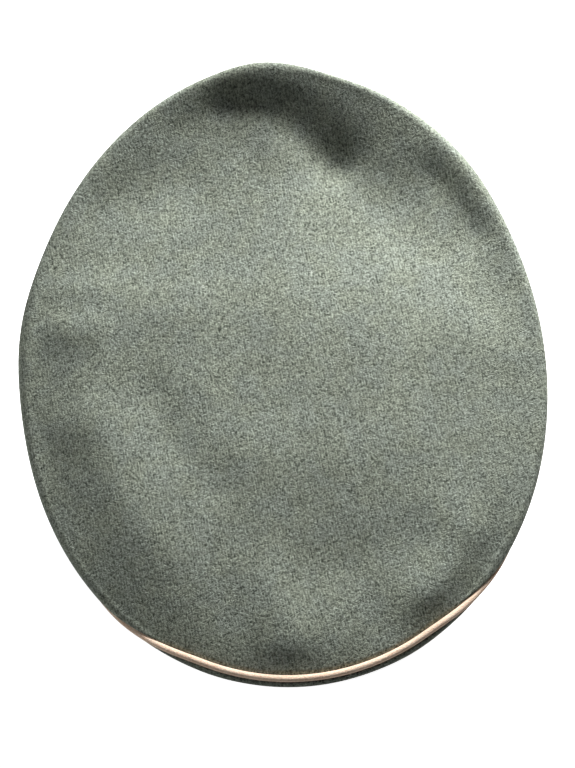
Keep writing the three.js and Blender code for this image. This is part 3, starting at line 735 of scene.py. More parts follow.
# Painted shade: the sides take a darker copy of the top's wool, standing for the shade they lie in
# below the rim.
SHADED_SIDE_WOOL = wool("shaded_side_wool", ((40, 44, 38), (70, 75, 66), (150, 157, 144)), lint=0.3)
PIPING_WOOL = wool(
    "piping_wool", ((234, 190, 158), (246, 212, 182), (255, 238, 220)), ribs=0, grain=0.8
)
BAND_WOOL = wool("band_wool", ((20, 28, 25), (34, 46, 41), (62, 76, 69)))
PAD_FLEECE = wool("pad_fleece", ((168, 160, 140), (196, 190, 172), (232, 228, 214)), ribs=0)
THREAD_GREY = thread("thread_grey", (96, 102, 90))
THREAD_BLACK = thread("thread_black", (44, 42, 40))
THREAD_TAN = thread("thread_tan", (206, 176, 128))
THREAD_CREAM = thread("thread_cream", (214, 204, 180))
STRAP_LEATHER = leather("strap_leather", (14, 12, 12), (38, 32, 30), 0.9, 0.4, coat=0.1, gloss=0.3)
HEM_LEATHER = leather("hem_leather", (14, 13, 13), (40, 36, 34), 0.8, 0.5)
EDGE_LEATHER = leather("visor_edge_leather", (10, 10, 11), (34, 33, 33), 0.7, 0.22, coat=0.5)
UNDER_LEATHER = leather("visor_lining_leather", (62, 74, 60), (104, 116, 96), 0.9, 0.5)
LACQUER = lacquer()
SATIN = satin()
SWEAT_LEATHER = sweat_leather()
CELLULOID = clear_sheet()
TAPE = woven("cotton_tape", (150, 140, 116), (222, 214, 192), 0.8)
BUCKRAM = woven("buckram_weave", (120, 106, 78), (202, 188, 156), 1.4, 0.5)
SPRING_STEEL = metal("spring_steel", (150, 154, 160), (96, 92, 88), 0.34)
BRASS = metal("sleeve_brass", (190, 150, 84), (120, 88, 48), 0.38)
SLIDER_METAL = metal("slider_metal", (120, 121, 122), (70, 70, 69), 0.4, wear=(168, 168, 166))
BUTTON_METAL = pebbled_aluminium()
FIBREBOARD = fibre("fibreboard", (84, 62, 42), (142, 112, 80))

# ---- Crown ----

# The seam's turn round the wire, in degrees, in front and where the cloth is drawn up at the back.
SEAM_UNDER = -52
SEAM_ON_TOP = 80
SEAM_MIDDLE = 183  # where it is drawn up, a little towards the wearer's right
CUT_EDGE = 13  # degrees of roll from the seam to the cloth's edge
TUCK = 1.1  # how far that edge is turned in


def seam_turn(angle):
    """Where the seam lies on the roll: under it in front, and drawn up on top of it at the back."""
    from_middle = np.abs((np.asarray(angle, float) - SEAM_MIDDLE + 180) % 360 - 180)
    return lerp(SEAM_ON_TOP, SEAM_UNDER, smoothstep(from_middle, 24, 58))


TIGHT_ROLL = 4.4  # its radius at the back
# Where the cloth stands off the wire: an angle round the ring, how far that reaches, and how much.
RIM_BULGES = [
    (1, 7, 1.9), (34, 12, -0.6), (79, 9, 2.0), (224, 13, -0.2), (311, 9, 1.5), (343, 6, -0.9),
]


def roll_radius(angle):
    """The cloth's radius over the wire: drawn tight at the back, and standing off it in places."""
    angle = np.asarray(angle, float)
    radius = lerp(TIGHT_ROLL, ROLL_RADIUS, smoothstep(np.abs(angle % 360 - 180), 10, 70))
    for at, reach, height in RIM_BULGES:
        away = (angle - at + 180) % 360 - 180
        radius = radius + height * np.exp(-0.5 * (away / reach) ** 2)
    return radius


# Folds of the crown's cloth, each a line of places, its width and its height in millimetres.
FOLDS = [
    ([(18, -138), (4, -134), (-8, -128), (-20, -118), (-32, -107)], 8, -5.0),
    ([(-32, -98), (-46, -90), (-60, -84)], 13, -3.7),
    ([(38, -128), (12, -120)], 10, -1.5),
    ([(84, -94), (44, -100)], 12, -2.3),
    ([(-30, -66), (-76, -60)], 11, -1.5),
    ([(-84, -94), (-96, -70)], 9, -2.0),
    ([(100, -34), (72, -40), (44, -38)], 12, 1.3),
    ([(0, -38), (-24, -32), (-50, -14)], 13, 0.5),
    ([(-78, -20), (-112, -6)], 10, 1.3),
    ([(118, -53), (84, -50)], 6, 1.2),
    ([(118, -34), (88, -30)], 6, 1.2),
    ([(118, 12), (96, 12)], 8, 1.0),
    ([(62, 6), (50, 30), (36, 44)], 9, -1.8),
    ([(40, 38), (0, 40), (-56, 34)], 12, 0.9),
    ([(90, 20), (72, 58), (46, 88)], 13, 1.9),
    ([(32, 90), (0, 90), (-36, 84), (-64, 80)], 12, -1.7),
    ([(14, 92), (6, 116)], 9, 2.6),
    ([(-26, 90), (-36, 118)], 7, -0.7),
    ([(-60, 60), (-90, 56)], 10, 0.8),
    ([(-76, 76), (-60, 100)], 10, 3.2),
    ([(64, 10), (-60, 10)], 45, 5.6),
]
REAR_FULLNESS = 5  # how far the cloth rises inside the rim at the back
FULLNESS_REACH = 13
SHEET_INSET = 0.8  # how far inside the wire the stretched sheet starts
MEAN_RING = 130  # the ring's rough radius


def distance_to_line(x, y, line):
    """How far each place is from the nearest part of a line of places, seen from above."""
    best = np.full(x.shape, np.inf)
    for (ax, ay), (bx, by) in zip(line, line[1:]):
        t = ((x - ax) * (bx - ax) + (y - ay) * (by - ay)) / ((bx - ax) ** 2 + (by - ay) ** 2)
        t = np.clip(t, 0, 1)
        best = np.minimum(best, np.hypot(x - ax - t * (bx - ax), y - ay - t * (by - ay)))
    return best


def relief(x, y, inside):
    """How far the folds lift the crown's cloth, this far inside the rim, where they fade out."""
    return sum(
        height
        * np.exp(-0.5 * (distance_to_line(x, y, line) / width) ** 2)
        * smoothstep(inside, 0, 7 + 0.6 * width)
        for line, width, height in FOLDS
    )


def rim_slope(angle):
    """How steeply the stretched cloth rises outwards where it meets the roll."""
    step = 0.01
    rim, inner = stretched(angle, 1, 0, 0), stretched(angle, 1 - step, 0, 0)
    ahead, back = stretched(angle + 0.5, 1, 0, 0), stretched(angle - 0.5, 1, 0, 0)
    out, along = ring_outwards(angle), unit((ahead - back) * (1, 1, 0))
    climb_along = (ahead - back)[..., 2] / np.linalg.norm((ahead - back)[..., :2], axis=-1)
    spoke = rim - inner
    spoke_out, spoke_along = (spoke * out).sum(-1), (spoke * along).sum(-1)
    return (spoke[..., 2] - spoke_along * climb_along) / spoke_out


def tucked(from_seam):
    """How far the top's cloth is turned in, this far from its seam."""
    return TUCK * (1 - smoothstep(from_seam, 1.1, 2.8))


def crown_top():
    """The top: a roll over the wire from the seam, and a stretched, folded sheet inside it."""
    angles = ALL_ROUND[:, None]
    radius, seam = roll_radius(angles), seam_turn(angles)
    first = seam + CUT_EDGE
    last = np.maximum(90, first + 4)
    turn = lerp(first, last, np.linspace(0, 1, 20))
    roll = beside_ring(angles, radius - tucked(np.radians(turn - seam) * radius), turn)
    past_rim = np.cos(np.radians(turn)) * radius
    roll[..., 2] += rim_slope(angles) * past_rim * smoothstep(turn, 10, 90)
    end = radius * np.cos(np.radians(last))
    start = 1 - (SHEET_INSET - end) / MEAN_RING
    shares = start * np.append(1 - np.linspace(0, 0.98, 96) ** 1.15, 0)
    face = stretched(angles, shares, 0, -lerp(ROLL_RADIUS, radius, smoothstep(shares, 0.6, 1)))
    inside = np.linalg.norm(ring_at(angles)[..., :2] - face[..., :2], axis=-1)
    face[..., 2] += relief(face[..., 0], face[..., 1], inside)
    fullness = (1 - np.exp(-inside / FULLNESS_REACH)) * smoothstep(face[..., 1], -10, 100)
    face[..., 2] += REAR_FULLNESS * fullness
    face[..., 2] -= tucked(np.radians(last - seam) * radius + inside + end)
    outer = np.concatenate([roll, face], 1)
    inner = behind(outer, CLOTH, True)
    inner[:, -1] = outer[:, -1] - (0, 0, CLOTH)
    unrolled = np.radians(90 - turn) * radius
    spread = ring_at(angles)[..., :2] + ring_outwards(angles)[..., :2] * unrolled[..., None]
    build = disc(outer, inner, np.concatenate([spread, face[..., :2]], 1))
    top = build.make("crown_top", "crown_top_panel", "crown_wool", CROWN_WOOL)


def crown_piping():
    seam = seam_turn(ALL_ROUND)
    radius = roll_radius(ALL_ROUND) - 0.9 + 1.1 * smoothstep(seam, 20, 80)
    centres = beside_ring(ALL_ROUND, radius, seam)
    build = tube(centres, ring_outwards(ALL_ROUND), PIPING_RADIUS, 16, True)
    build.make("crown_edge_piping", "crown_piping", "piping_wool", PIPING_WOOL)


SIDE_FOOT = BAND_TOP + 3.6
WALL_ROWS = 25  # of a side, up to the roll


def side_grid(angles):
    """The sides' outer face, from its foot on the band up to the seam."""
    rows = []
    for angle in angles:
        foot = band_at(angle, 0, SIDE_FOOT)
        to_foot = foot - ring_at(angle)
        tangent = 90 + np.degrees(np.arctan2(to_foot[2], to_foot @ ring_outwards(angle)))
        radius = roll_radius(angle)
        upper = float(seam_turn(angle)) - CUT_EDGE
        lower = min(tangent, upper - 12)
        roll_foot = beside_ring(angle, radius, lower)
        flare = foot + (roll_foot - foot) * (0.3, 0.3, 0.5)
        t = np.linspace(0, 1, WALL_ROWS + 1)[:-1, None]
        wall = bend(foot, flare, roll_foot, t)
        turn = np.linspace(lower, upper, 14)
        tuck = TUCK * smoothstep(turn - upper, -16, 0)
        rows.append(np.concatenate([wall, beside_ring(angle, radius - tuck, turn)]))
    return np.array(rows)


FRONT_SEAM = 52.5  # the angles of the seams between the side panels
BACK_SEAM = 142.5
DEGREE = 1.9  # millimetres of the sides' girth to a degree
SEAM_DIP = 0.9  # how far the cloth is drawn in along a seam
SEAM_DIP_REACH = 1.6
STITCH_LINE = 3.4  # from a seam


def side_panel(name, start, end):
    """One of the four side panels, drawn in along its seams, with a row of stitches beside each."""
    angles = np.concatenate([
        (start + 0.15, start + 0.7), np.arange(start + 1.5, end - 1, 1.5), (end - 0.7, end - 0.15)
    ])
    outer = side_grid(angles)
    share = np.linspace(0, 1, outer.shape[1])
    a = np.radians(angles)[:, None]
    swell = 0.7 * np.sin(9 * a + 0.7) + 0.5 * np.sin(17 * a + 3 * share + 1.9)
    swell = swell + 0.4 * np.sin(5 * a - 4 * share)
    to_seam = np.minimum(angles - start, end - angles)[:, None] * DEGREE
    seam_dip = SEAM_DIP * np.exp(-((to_seam / SEAM_DIP_REACH) ** 2))
    soft = np.sin(np.pi * np.clip(share * 1.25, 0, 1))
    out = normals(outer, False)
    outer = outer + out * ((swell * smoothstep(to_seam, 0, 12) - seam_dip) * soft)[..., None]
    build = sheet(outer, CLOTH)
    rows = slice(2, WALL_ROWS - 1)
    for at in (start + STITCH_LINE / DEGREE, end - STITCH_LINE / DEGREE):
        k = int(np.argmin(np.abs(angles - at)))
        stitches(build, outer[k, rows], out[k, rows], *SIDE_STITCH)
    # The panels' darker wool is painted shade.
    panel = build.make(name, name + "_panel", "crown_wool", SHADED_SIDE_WOOL, THREAD_GREY)


# ---- Band ----

UPPER_PIPING_Z = BAND_TOP + 1.8
LOWER_PIPING_Z = COVER_LOW - 1.8
PIPING_INSET = -0.3


def band_cover():
    """The band's cloth, slightly full, and drawn in at its seam at the back."""
    heights = np.linspace(COVER_LOW, BAND_TOP, 30)
    share = np.linspace(0, 1, len(heights))
    arch = np.sin(np.pi * share)
    a = np.radians(ALL_ROUND)[:, None]
    soft = 0.16 * np.sin(11 * a + 1.1) * arch + 0.1 * np.sin(23 * a + 4 * share)
    from_seam = (ALL_ROUND[:, None] - 180) * 1.8
    full = 0.9 * arch**0.35 + soft - 0.8 * np.exp(-((from_seam / 1.4) ** 2))
    outer = band_wall(ALL_ROUND, 0.9, heights)
    outer = outer + normals(outer, True) * full[..., None]
    build = shell(outer, behind(band_wall(ALL_ROUND, 0.3, heights), 1.6, True), True)
    cover = build.make("band_cloth", "band_cover", "band_wool", BAND_WOOL)


def band_piping(name, height, node):
    angles = np.arange(0, 360, 1.5)
    build = tube(band_at(angles, PIPING_INSET, height), outwards(angles), PIPING_RADIUS, 14, True)
    build.make(name, node, "piping_wool", PIPING_WOOL)


# The hem's section from its inner edge outwards and up: insets and heights of its face and back.
HEM_FACE_INSETS, HEM_FACE_HEIGHTS = (
    (4.5, 3.8, 2.8, 2.0, 1.7, 1.6, 1.7, 2.0), (0.1, 0, 0, 0.05, 0.35, 0.9, 1.45, 1.75)
)
HEM_BACK_INSETS, HEM_BACK_HEIGHTS = (
    (4.6, 4.0, 3.6, 3.2, 3.0, 2.9, 2.9, 3.0), (1.6, 1.6, 1.55, 1.5, 1.5, 1.5, 1.6, 1.75)
)


def hem_binding():
    face = band_wall(ALL_ROUND, HEM_FACE_INSETS, HEM_FACE_HEIGHTS)
    back = band_wall(ALL_ROUND, HEM_BACK_INSETS, HEM_BACK_HEIGHTS)
    build = shell(face, back, True)
    build.make("hem_edge", "hem_binding", "hem_leather", HEM_LEATHER)


# ---- Inside ----

OPEN_AT_BACK = np.concatenate([[180.35], np.arange(181.5, 539, 1.5), [539.65]])
SWEATBAND_INSET = 5.75
SWEATBAND = 1.2  # thick, with its fold
SWEATBAND_FACE = SWEATBAND_INSET + SWEATBAND
LINING_INSET = 5.1
LINING = 0.4  # thick
PAD_INSET = 4.15
PAD_HALF_ANGLE = 45


def sweatband():
    """The leather against the head, rolling in a little at its top, with a stitched foot."""
    heights = np.concatenate([np.linspace(2.6, 6, 4), np.linspace(7.5, 44, 20), [45.6, 47]])
    outer = band_wall(OPEN_AT_BACK, SWEATBAND_INSET, heights)
    inner = band_wall(OPEN_AT_BACK, SWEATBAND_FACE, heights)
    a = np.radians(OPEN_AT_BACK)[:, None]
    roll = 0.8 * smoothstep(heights, 20, 47) * (1 + 0.5 * np.sin(7 * a + 0.6))
    inward = -normals(outer, False) * roll[..., None]
    build = shell(outer + inward, inner + inward)
    angles = np.arange(182, 538, 1.0)
    path = band_at(angles, SWEATBAND_FACE + 0.02, 4.6)
    stitches(build, path, -outwards(angles), *SWEATBAND_STITCH)
    build.make("sweatband_skin", "sweatband", "sweatband_leather", SWEAT_LEATHER, THREAD_TAN)


def sweatband_reed():
    centres = band_at(OPEN_AT_BACK, SWEATBAND_INSET + 0.6, 1.3)
    build = tube(centres, outwards(OPEN_AT_BACK), 0.9, 10)
    build.make("reed_fold", "sweatband_reed", "sweatband_leather", SWEAT_LEATHER)


def rear_tab():
    """The leather tab over the sweatband's joint, stitched all round."""
    angles, heights = np.linspace(174.2, 185.8, 25), np.linspace(8.5, 41.5, 24)
    inset = SWEATBAND_FACE + 1.2
    build = shell(band_wall(angles, inset, heights), band_wall(angles, inset + 0.8, heights))
    across, up = np.linspace(175, 185, 24), np.linspace(10.5, 39.5, 24)
    sides = ((across, 10), (185.0, up), (across[::-1], 40), (175.0, up[::-1]))
    rim = np.concatenate([band_at(angle, inset + 0.82, height) for angle, height in sides])
    stitches(build, rim, np.tile(-outwards(180.0), (len(rim), 1)), *TAB_STITCH)
    build.make("rear_tab", "sweatband_rear_tab", "sweatband_leather", SWEAT_LEATHER, THREAD_TAN)


def forehead_pad():
    """A thin quilted pad: it swells between its channels and pulls in at its stitched edge."""
    angles = np.arange(-PAD_HALF_ANGLE, PAD_HALF_ANGLE + 0.1, 0.75)
    heights = np.linspace(6, 34, 40)
    outer = band_wall(angles, PAD_INSET, heights)
    share = np.linspace(0, 1, len(heights))
    edge = smoothstep(np.minimum(share, 1 - share), 0, 0.08)
    edge = edge * smoothstep(PAD_HALF_ANGLE - np.abs(angles), 0, 3)[:, None]
    channels = np.abs(np.sin(4 * np.pi * share)) ** 0.5
    depth = 0.3 + 0.45 * edge * (0.35 + 0.65 * channels)
    build = sheet(outer, depth[..., None])
    pad = build.make("brow_pad", "forehead_pad", "casing_tape", PAD_FLEECE)


LINING_CORNER_INSET = 10  # of the seam between the lining's wall and roof, from the wire
LINING_BELOW = 5


def lining_side():
    """The lining's wall, pleated in its middle."""
    angles = np.arange(0, 360, 0.75)
    rows = []
    for angle in angles:
        corner = ring_at(angle) - ring_outwards(angle) * (LINING_CORNER_INSET - 0.4)
        corner = corner - (0, 0, LINING_BELOW + 1.4)
        foot = band_at(angle, LINING_INSET, 50)
        flare = lerp(foot, corner, 0.3) + (0, 0, 5)
        upper = bend(foot, flare, corner, np.linspace(0, 1, 22)[:, None])
        rows.append(np.concatenate([band_at(angle, LINING_INSET, np.linspace(32, 48, 6)), upper]))
    outer = np.array(rows)
    share = np.linspace(0, 1, outer.shape[1])
    a = np.radians(angles)[:, None]
    pleats = np.maximum(0, np.sin(72 * a + 1.5 * np.sin(5 * a))) ** 2
    depth = 0.9 * pleats * smoothstep(share, 0.22, 0.4) * (1 - smoothstep(share, 0.6, 0.98))
    build = sheet(outer - normals(outer, True) * depth[..., None], LINING, True)
    side = build.make("lining_wall", "lining_side", "lining_silk", SATIN)


def lining_top():
    """The lining's roof, eased in with small gathers round its edge."""
    angles = np.arange(0, 360, 1.5)[:, None]
    shares = np.append(1 - np.linspace(0, 0.97, 60), 0)
    outer = stretched(angles, shares, LINING_CORNER_INSET, LINING_BELOW)
    a = np.radians(angles)
    near_edge = smoothstep(shares, 0.55, 0.9) * (1 - smoothstep(shares, 0.93, 1))
    outer[..., 2] -= np.abs(0.7 * np.sin(24 * a + 2 * np.sin(3 * a)) * near_edge)
    build = disc(outer, outer - (0, 0, LINING))
    roof = build.make("lining_roof", "lining_top", "lining_silk", SATIN)


def lining_height(x, y):
    """The lining's face above a place of the cap's middle."""
    angle = np.degrees(np.arctan2(x / RING_HALF_WIDTH, -y / RING_HALF_LENGTH))
    share = np.hypot(x / RING_HALF_WIDTH, y / RING_HALF_LENGTH) * 1.08
    return stretched(angle, share, LINING_CORNER_INSET, LINING_BELOW)[..., 2]


def sweat_shield():
    """A clear diamond, stitched to the lining."""
    half_length, half_width, thickness = 57, 41, 0.35
    u, v = np.meshgrid(np.linspace(1, -1, 33), np.linspace(-1, 1, 33), indexing="ij")
    x, y = (u - v) / 2 * half_width, (u + v) / 2 * half_length
    outer = np.stack([x, y - RING_FORWARD, lining_height(x, y) - LINING - 1.1], -1)
    build = shell(outer - (0, 0, thickness), outer)
    loop = np.concatenate([outer[0], outer[1:, -1], outer[-1, -2::-1], outer[-2::-1, 0]])
    middle = loop.mean(0)
    loop = middle + (loop - middle) * 0.97 - (0, 0, 0.4)
    stitches(build, loop, np.tile(-VERTICAL, (len(loop), 1)), *SHIELD_STITCH)
    build.make("shield_sheet", "sweat_shield", "celluloid", CELLULOID, THREAD_CREAM)


def wire_casing():
    """A cotton channel round the wire, puckered where it is caught by its stitches."""
    angles = np.concatenate([[187], np.arange(188, 532, 1.5), [533]])[:, None]
    turns = np.linspace(-115, 205, 26)
    outer_radius, inner_radius = 2.9 + 0.084 * np.sin(np.radians(angles) * 90), 1.7
    outer, inner = [beside_ring(angles, radius, turns) for radius in (outer_radius, inner_radius)]
    build = shell(outer, inner)
    build.make("wire_channel", "wire_casing", "casing_tape", TAPE)


def front_buckram():
    """Stiff cloth close behind the front panel's wall."""
    half_angle, gap, thickness = 37.5, 0.35, 0.75
    face = side_grid(np.arange(-half_angle, half_angle + 0.1, 1.5))[:, : WALL_ROWS + 1]
    build = sheet(behind(face, CLOTH + gap)[:, 1:24], thickness)
    cloth = build.make("buckram_front", "front_buckram", "buckram", BUCKRAM)


# ---- Visor ----

VISOR_HALF_ANGLE = 70  # to the ends of its root
VISOR_FLAT_ANGLE = 20  # up to which its edge keeps to one plane
VISOR_REACH = 38
VISOR_DROP = 33
VISOR = 1.5  # thick
VISOR_ROOT_INSET = 0.6
VISOR_ROOT_Z = 0.7
HEEL_Y = BAND_HALF_LENGTH - 1.6  # where the cap's back touches the table
BINDING_HALF_ANGLE = 63


def visor_reach(angle):
    return 1.5 + VISOR_REACH * np.maximum(0, 1 - (angle / VISOR_HALF_ANGLE) ** 2)


def visor_drop(angle):
    slope = VISOR_DROP / (HEEL_Y - band_at(0.0, -visor_reach(0.0), 0)[1])
    edge = band_at(angle, -visor_reach(angle), 0)[..., 1]
    fade = 1 - smoothstep(np.abs(angle), VISOR_FLAT_ANGLE, VISOR_HALF_ANGLE)
    return slope * (HEEL_Y - edge) * fade


def visor_grid(angles):
    """The visor's upper face, from its edge (share 1) in to the band (share 0)."""
    a, s = np.asarray(angles, float)[:, None], np.linspace(1, 0, 20)
    out = lerp(VISOR_ROOT_INSET, -visor_reach(a), s)
    height = VISOR_ROOT_Z - visor_drop(a) * (0.85 * s + 0.15 * s**2)
    return band_at(a, out, height)


def visor():
    """The lacquered plate, and the leather that lines it underneath."""
    angles = np.arange(-VISOR_HALF_ANGLE, VISOR_HALF_ANGLE + 0.1, 1.0)
    grid = visor_grid(angles)
    plate = sheet(grid, VISOR)
    plate.make("visor_plate", "visor_shell", "visor_black", LACQUER)
    gap, thickness, short_by = 0.6, 0.5, 8  # the lining ends this many degrees before the plate
    lining = sheet(behind(grid, VISOR + gap)[short_by:-short_by], thickness)
    lining.make("visor_lining", "visor_underside", "visor_lining", UNDER_LEATHER)


def visor_binding():
    """Leather folded over the visor's rim and sewn through, near its inner edge."""
    angles = np.arange(-BINDING_HALF_ANGLE, BINDING_HALF_ANGLE + 0.1, 0.75)
    grid = visor_grid(angles)
    ups = normals(grid, False)[:, 0]
    outs = unit(grid[:, 0] - grid[:, 1])
    top, bottom = 0.45, -3.1  # of the visor and its lining, with room for the leather
    # The binding's section round the rim: how far out, and how high.
    line = np.array([
        (-4.0, top + 0.25), (-3.7, top + 0.6), (-3.1, top + 0.66), (-2.6, top + 0.5),
        (-2.1, top + 0.68), (-1.2, top + 0.74), (-0.3, top + 0.72), (0.35, top + 0.5),
        (0.75, top - 0.1), (0.95, top - 1), (0.98, -1.3), (0.95, bottom + 1),
        (0.75, bottom + 0.1), (0.35, bottom - 0.5), (-0.3, bottom - 0.7),
        (-1.2, bottom - 0.72), (-2.6, bottom - 0.5), (-3.7, bottom - 0.6), (-4.0, bottom - 0.25),
    ])
    inner_height = np.clip(line[:, 1], bottom + 0.02, top - 0.02)
    inner_line = np.stack([np.minimum(line[:, 0], 0.3), inner_height], -1)

    def round_rim(section):
        return grid[:, :1] + outs[:, None] * section[:, :1] + ups[:, None] * section[:, 1:]

    build = shell(round_rim(line)[:, ::-1], round_rim(inner_line)[:, ::-1])
    stitch_line = grid[:, 0] - outs * 2.6
    for up, side in ((top + 0.56, 1), (bottom - 0.56, -1)):
        stitches(build, stitch_line + ups * up, ups * side, *VISOR_STITCH)
    build.make("visor_rim", "visor_edge_binding", "visor_black", EDGE_LEATHER, THREAD_BLACK)


# ---- Chin strap, sliders and buttons ----

BUTTON_ANGLE = 78.75
BUTTON_HEIGHT = 22.5
STRAP_LAYER = 3.2  # how far the strap's back stands off the band
STRAP_FORWARD = 2.8  # how much further it stands off in front
STRAP_HALF_WIDTH = 7
LEATHER = 1.6  # thick
CREASE = 0.77  # where its creased line runs, as a share of its half width
TIP_ANGLE = 46  # how far a half reaches past the front
END_ANGLE = 82  # of its other end, just past the button
GAP = 0.3  # between the layers, and between them and a slider
SLIDER_ANGLE = 40
SLIDER_WALL = 0.8
SLIDER_LENGTH = 7
SLIDE = next(j for j in frame["joints"] if j["name"] == "slider_left_slide")


def strap_droop():
    """How far the strap hangs down in front: it lies square to the axis its sliders turn on."""
    axis = np.array(SLIDE["axis"])
    axis = axis * np.sign(axis[2]) @ AXES.T
    return -np.arctan2(axis[1], axis[2])


def strap_at(angle, out, height):
    """A point of the strap: level in its own frame, then hung down about the buttons' line."""
    angle, out, height = np.broadcast_arrays(np.asarray(angle, float), out, height)
    pivot_y = band_at(BUTTON_ANGLE, 0, 0)[1]
    forward = STRAP_FORWARD * (1 - smoothstep(np.abs(angle), 56, 77))
    flat = band_at(angle, -out, height)
    y, z = flat[..., 1] - forward - pivot_y, flat[..., 2]
    droop = strap_droop()
    c, s = np.cos(droop), np.sin(droop)
    return np.stack([flat[..., 0], pivot_y + y * c - z * s, BUTTON_HEIGHT + y * s + z * c], -1)


def strap_half(name, side, is_outer, node):
    """Half of the strap, with a creased line along both edges, from the button to its tip.
    The outer half lies over the other in front."""
    angles = np.concatenate([
        np.arange(END_ANGLE, 77.9, -0.4), np.arange(77, -41.9, -1.0), np.arange(-42.2, -46.01, -0.4)
    ])
    from_middle = np.array([0.3, 0.6, 0.68, 0.73, CREASE, 0.82, 0.9, 0.97, 1])
    across = np.concatenate([-from_middle[::-1], [0], from_middle])
    dome = 0.12 * across**4 + 0.2 * np.exp(-(((np.abs(across) - CREASE) / 0.035) ** 2))
    lift = (LEATHER + GAP) * (1 - smoothstep(angles, TIP_ANGLE + 1.5, 62)) * is_outer
    to_button = np.radians(END_ANGLE - angles) * SIDE_RADIUS
    to_tip = np.radians(angles + TIP_ANGLE) * (NOSE_RADIUS + 4)
    rounding = np.clip((np.minimum(to_button, to_tip) + 0.6) / STRAP_HALF_WIDTH, 0, 1)
    half = STRAP_HALF_WIDTH * np.sqrt(1 - (1 - rounding) ** 2)
    heights = half[:, None] * across
    back = STRAP_LAYER + lift[:, None]
    outer = strap_at(side * angles[:, None], back + LEATHER - dome, heights)
    inner = strap_at(side * angles[:, None], back, heights)
    build = shell(outer[::-side], inner[::-side])
    build.make(name, node, "strap_leather", STRAP_LEATHER, body="chin_strap")


def side_button(name, side, node):
    """A domed button with a rolled rim on its shank, whose end is spread behind the washer."""
    back = STRAP_LAYER + LEATHER + 0.5
    rise, roll = np.radians(np.linspace(4, 86, 16)), np.radians(np.linspace(-90, 150, 12))
    dome = [(6.1 * np.cos(t), back + 1.0 + 2.5 * np.sin(t)) for t in rise]
    rim = [(6.5 + 0.5 * np.cos(t), back + 0.6 + 0.55 * np.sin(t)) for t in roll]
    shank = [(2.4, -5.5), (2.4, -5.0), (1.5, -4.95), (1.5, back - 0.1), (2.2, back), (6.2, back)]
    profile = np.array([*shank, *rim, *dome])  # each point's radius, and how far out it is
    turns = np.radians(np.arange(0, 360, 5))[:, None]
    axis = outwards(side * BUTTON_ANGLE)
    around = np.cross(VERTICAL, axis) * np.cos(turns) + VERTICAL * np.sin(turns)
    base = band_at(side * BUTTON_ANGLE, 0, BUTTON_HEIGHT)
    grid = base + around[:, None] * profile[None, :, :1] + axis * profile[None, :, 1:]
    ends = base + axis * -5.5, base + axis * (back + 3.5)
    points = np.concatenate([grid.reshape(-1, 3), np.stack(ends)])
    index = np.arange(len(points) - 2).reshape(grid.shape[:2])
    build = Build(points, points[:, 1:], quads(wrapped(index, 0)).tolist() + fans(index))
    build.make(name, node, "button_metal", BUTTON_METAL)


def rounded_rectangle(low, high, half, corner):
    """Places round a section of the strap: how far out, from low to high, and how high, to half."""
    corners = [
        (high - corner, half - corner), (low + corner, half - corner),
        (low + corner, corner - half), (high - corner, corner - half),
    ]
    return np.array([
        (out + corner * np.cos(t), height + corner * np.sin(t))
        for k, (out, height) in enumerate(corners)
        for t in np.radians(90 * k + np.linspace(0, 90, 7))
    ])


def slider(name, side, body, node):
    """A metal loop round both layers of the strap, with rounded corners and a domed face."""
    low, high, half = STRAP_LAYER - GAP, STRAP_LAYER + 2 * (LEATHER + GAP), STRAP_HALF_WIDTH + 0.6
    face = rounded_rectangle(low - SLIDER_WALL, high + SLIDER_WALL, half + SLIDER_WALL, 1.3)
    bore = rounded_rectangle(low, high, half, 0.6)
    across = np.linspace(1, -1, 13)
    angles = side * SLIDER_ANGLE + across * np.degrees(SLIDER_LENGTH / 2 / (NOSE_RADIUS + high))
    dome = 0.25 * (1 - across**2) * (face[:, :1] > high)
    build = shell(
        strap_at(angles, face[:, :1] + dome, face[:, 1:]),
        strap_at(angles, bore[:, :1], bore[:, 1:]),
        True,
    )
    build.make(name, node, "slider_metal", SLIDER_METAL, body=body)


def carried_over():
    """The CAD's own wire, springs, stiffener and washers, with their finishes."""
    finishes = {
        "crown_wire": SPRING_STEEL,
        "front_stay": SPRING_STEEL,
        "wire_joint_sleeve": BRASS,
        "button_washer_left": BRASS,
        "button_washer_right": BRASS,
        "band_stiffener": FIBREBOARD,
    }
    for name, finish in finishes.items():
        node = frame["nodes"][name]
        node.data.materials.clear()
        node.data.materials.append(finish)
        for polygon in node.data.polygons:
            polygon.material_index = 0


# ---- The pieces ----

crown_top()
crown_piping()
side_panel("crown_front", -FRONT_SEAM, FRONT_SEAM)
side_panel("crown_left", FRONT_SEAM, BACK_SEAM)
side_panel("crown_rear", BACK_SEAM, 360 - BACK_SEAM)
side_panel("crown_right", 360 - BACK_SEAM, 360 - FRONT_SEAM)
band_cover()
band_piping("band_piping_upper", UPPER_PIPING_Z, "band_upper_piping")
band_piping("band_piping_lower", LOWER_PIPING_Z, "band_lower_piping")
hem_binding()
sweatband()
sweatband_reed()
rear_tab()
forehead_pad()
lining_top()
lining_side()
sweat_shield()
wire_casing()
front_buckram()
visor()
visor_binding()
strap_half("strap_left", 1, True, "chin_strap_left")
strap_half("strap_right", -1, False, "chin_strap_right")
slider("slider_loop_left", 1, "slider_left", "strap_slider_left")
slider("slider_loop_right", -1, "slider_right", "strap_slider_right")
side_button("button_left", 1, "side_button_left")
side_button("button_right", -1, "side_button_right")
carried_over()

# ---- Floor, light and camera ----

WHITE = (1, 1, 1, 1)
FLOOR_HALF = 4
FLOOR_GLOW = 0.35  # keeps the floor pale, and what the camera sees of it nearly white
FLOOR_SEEN = 0.92
FILL_LIGHT = 0.05
CAP_MIDDLE = (0, 0, 0.11)
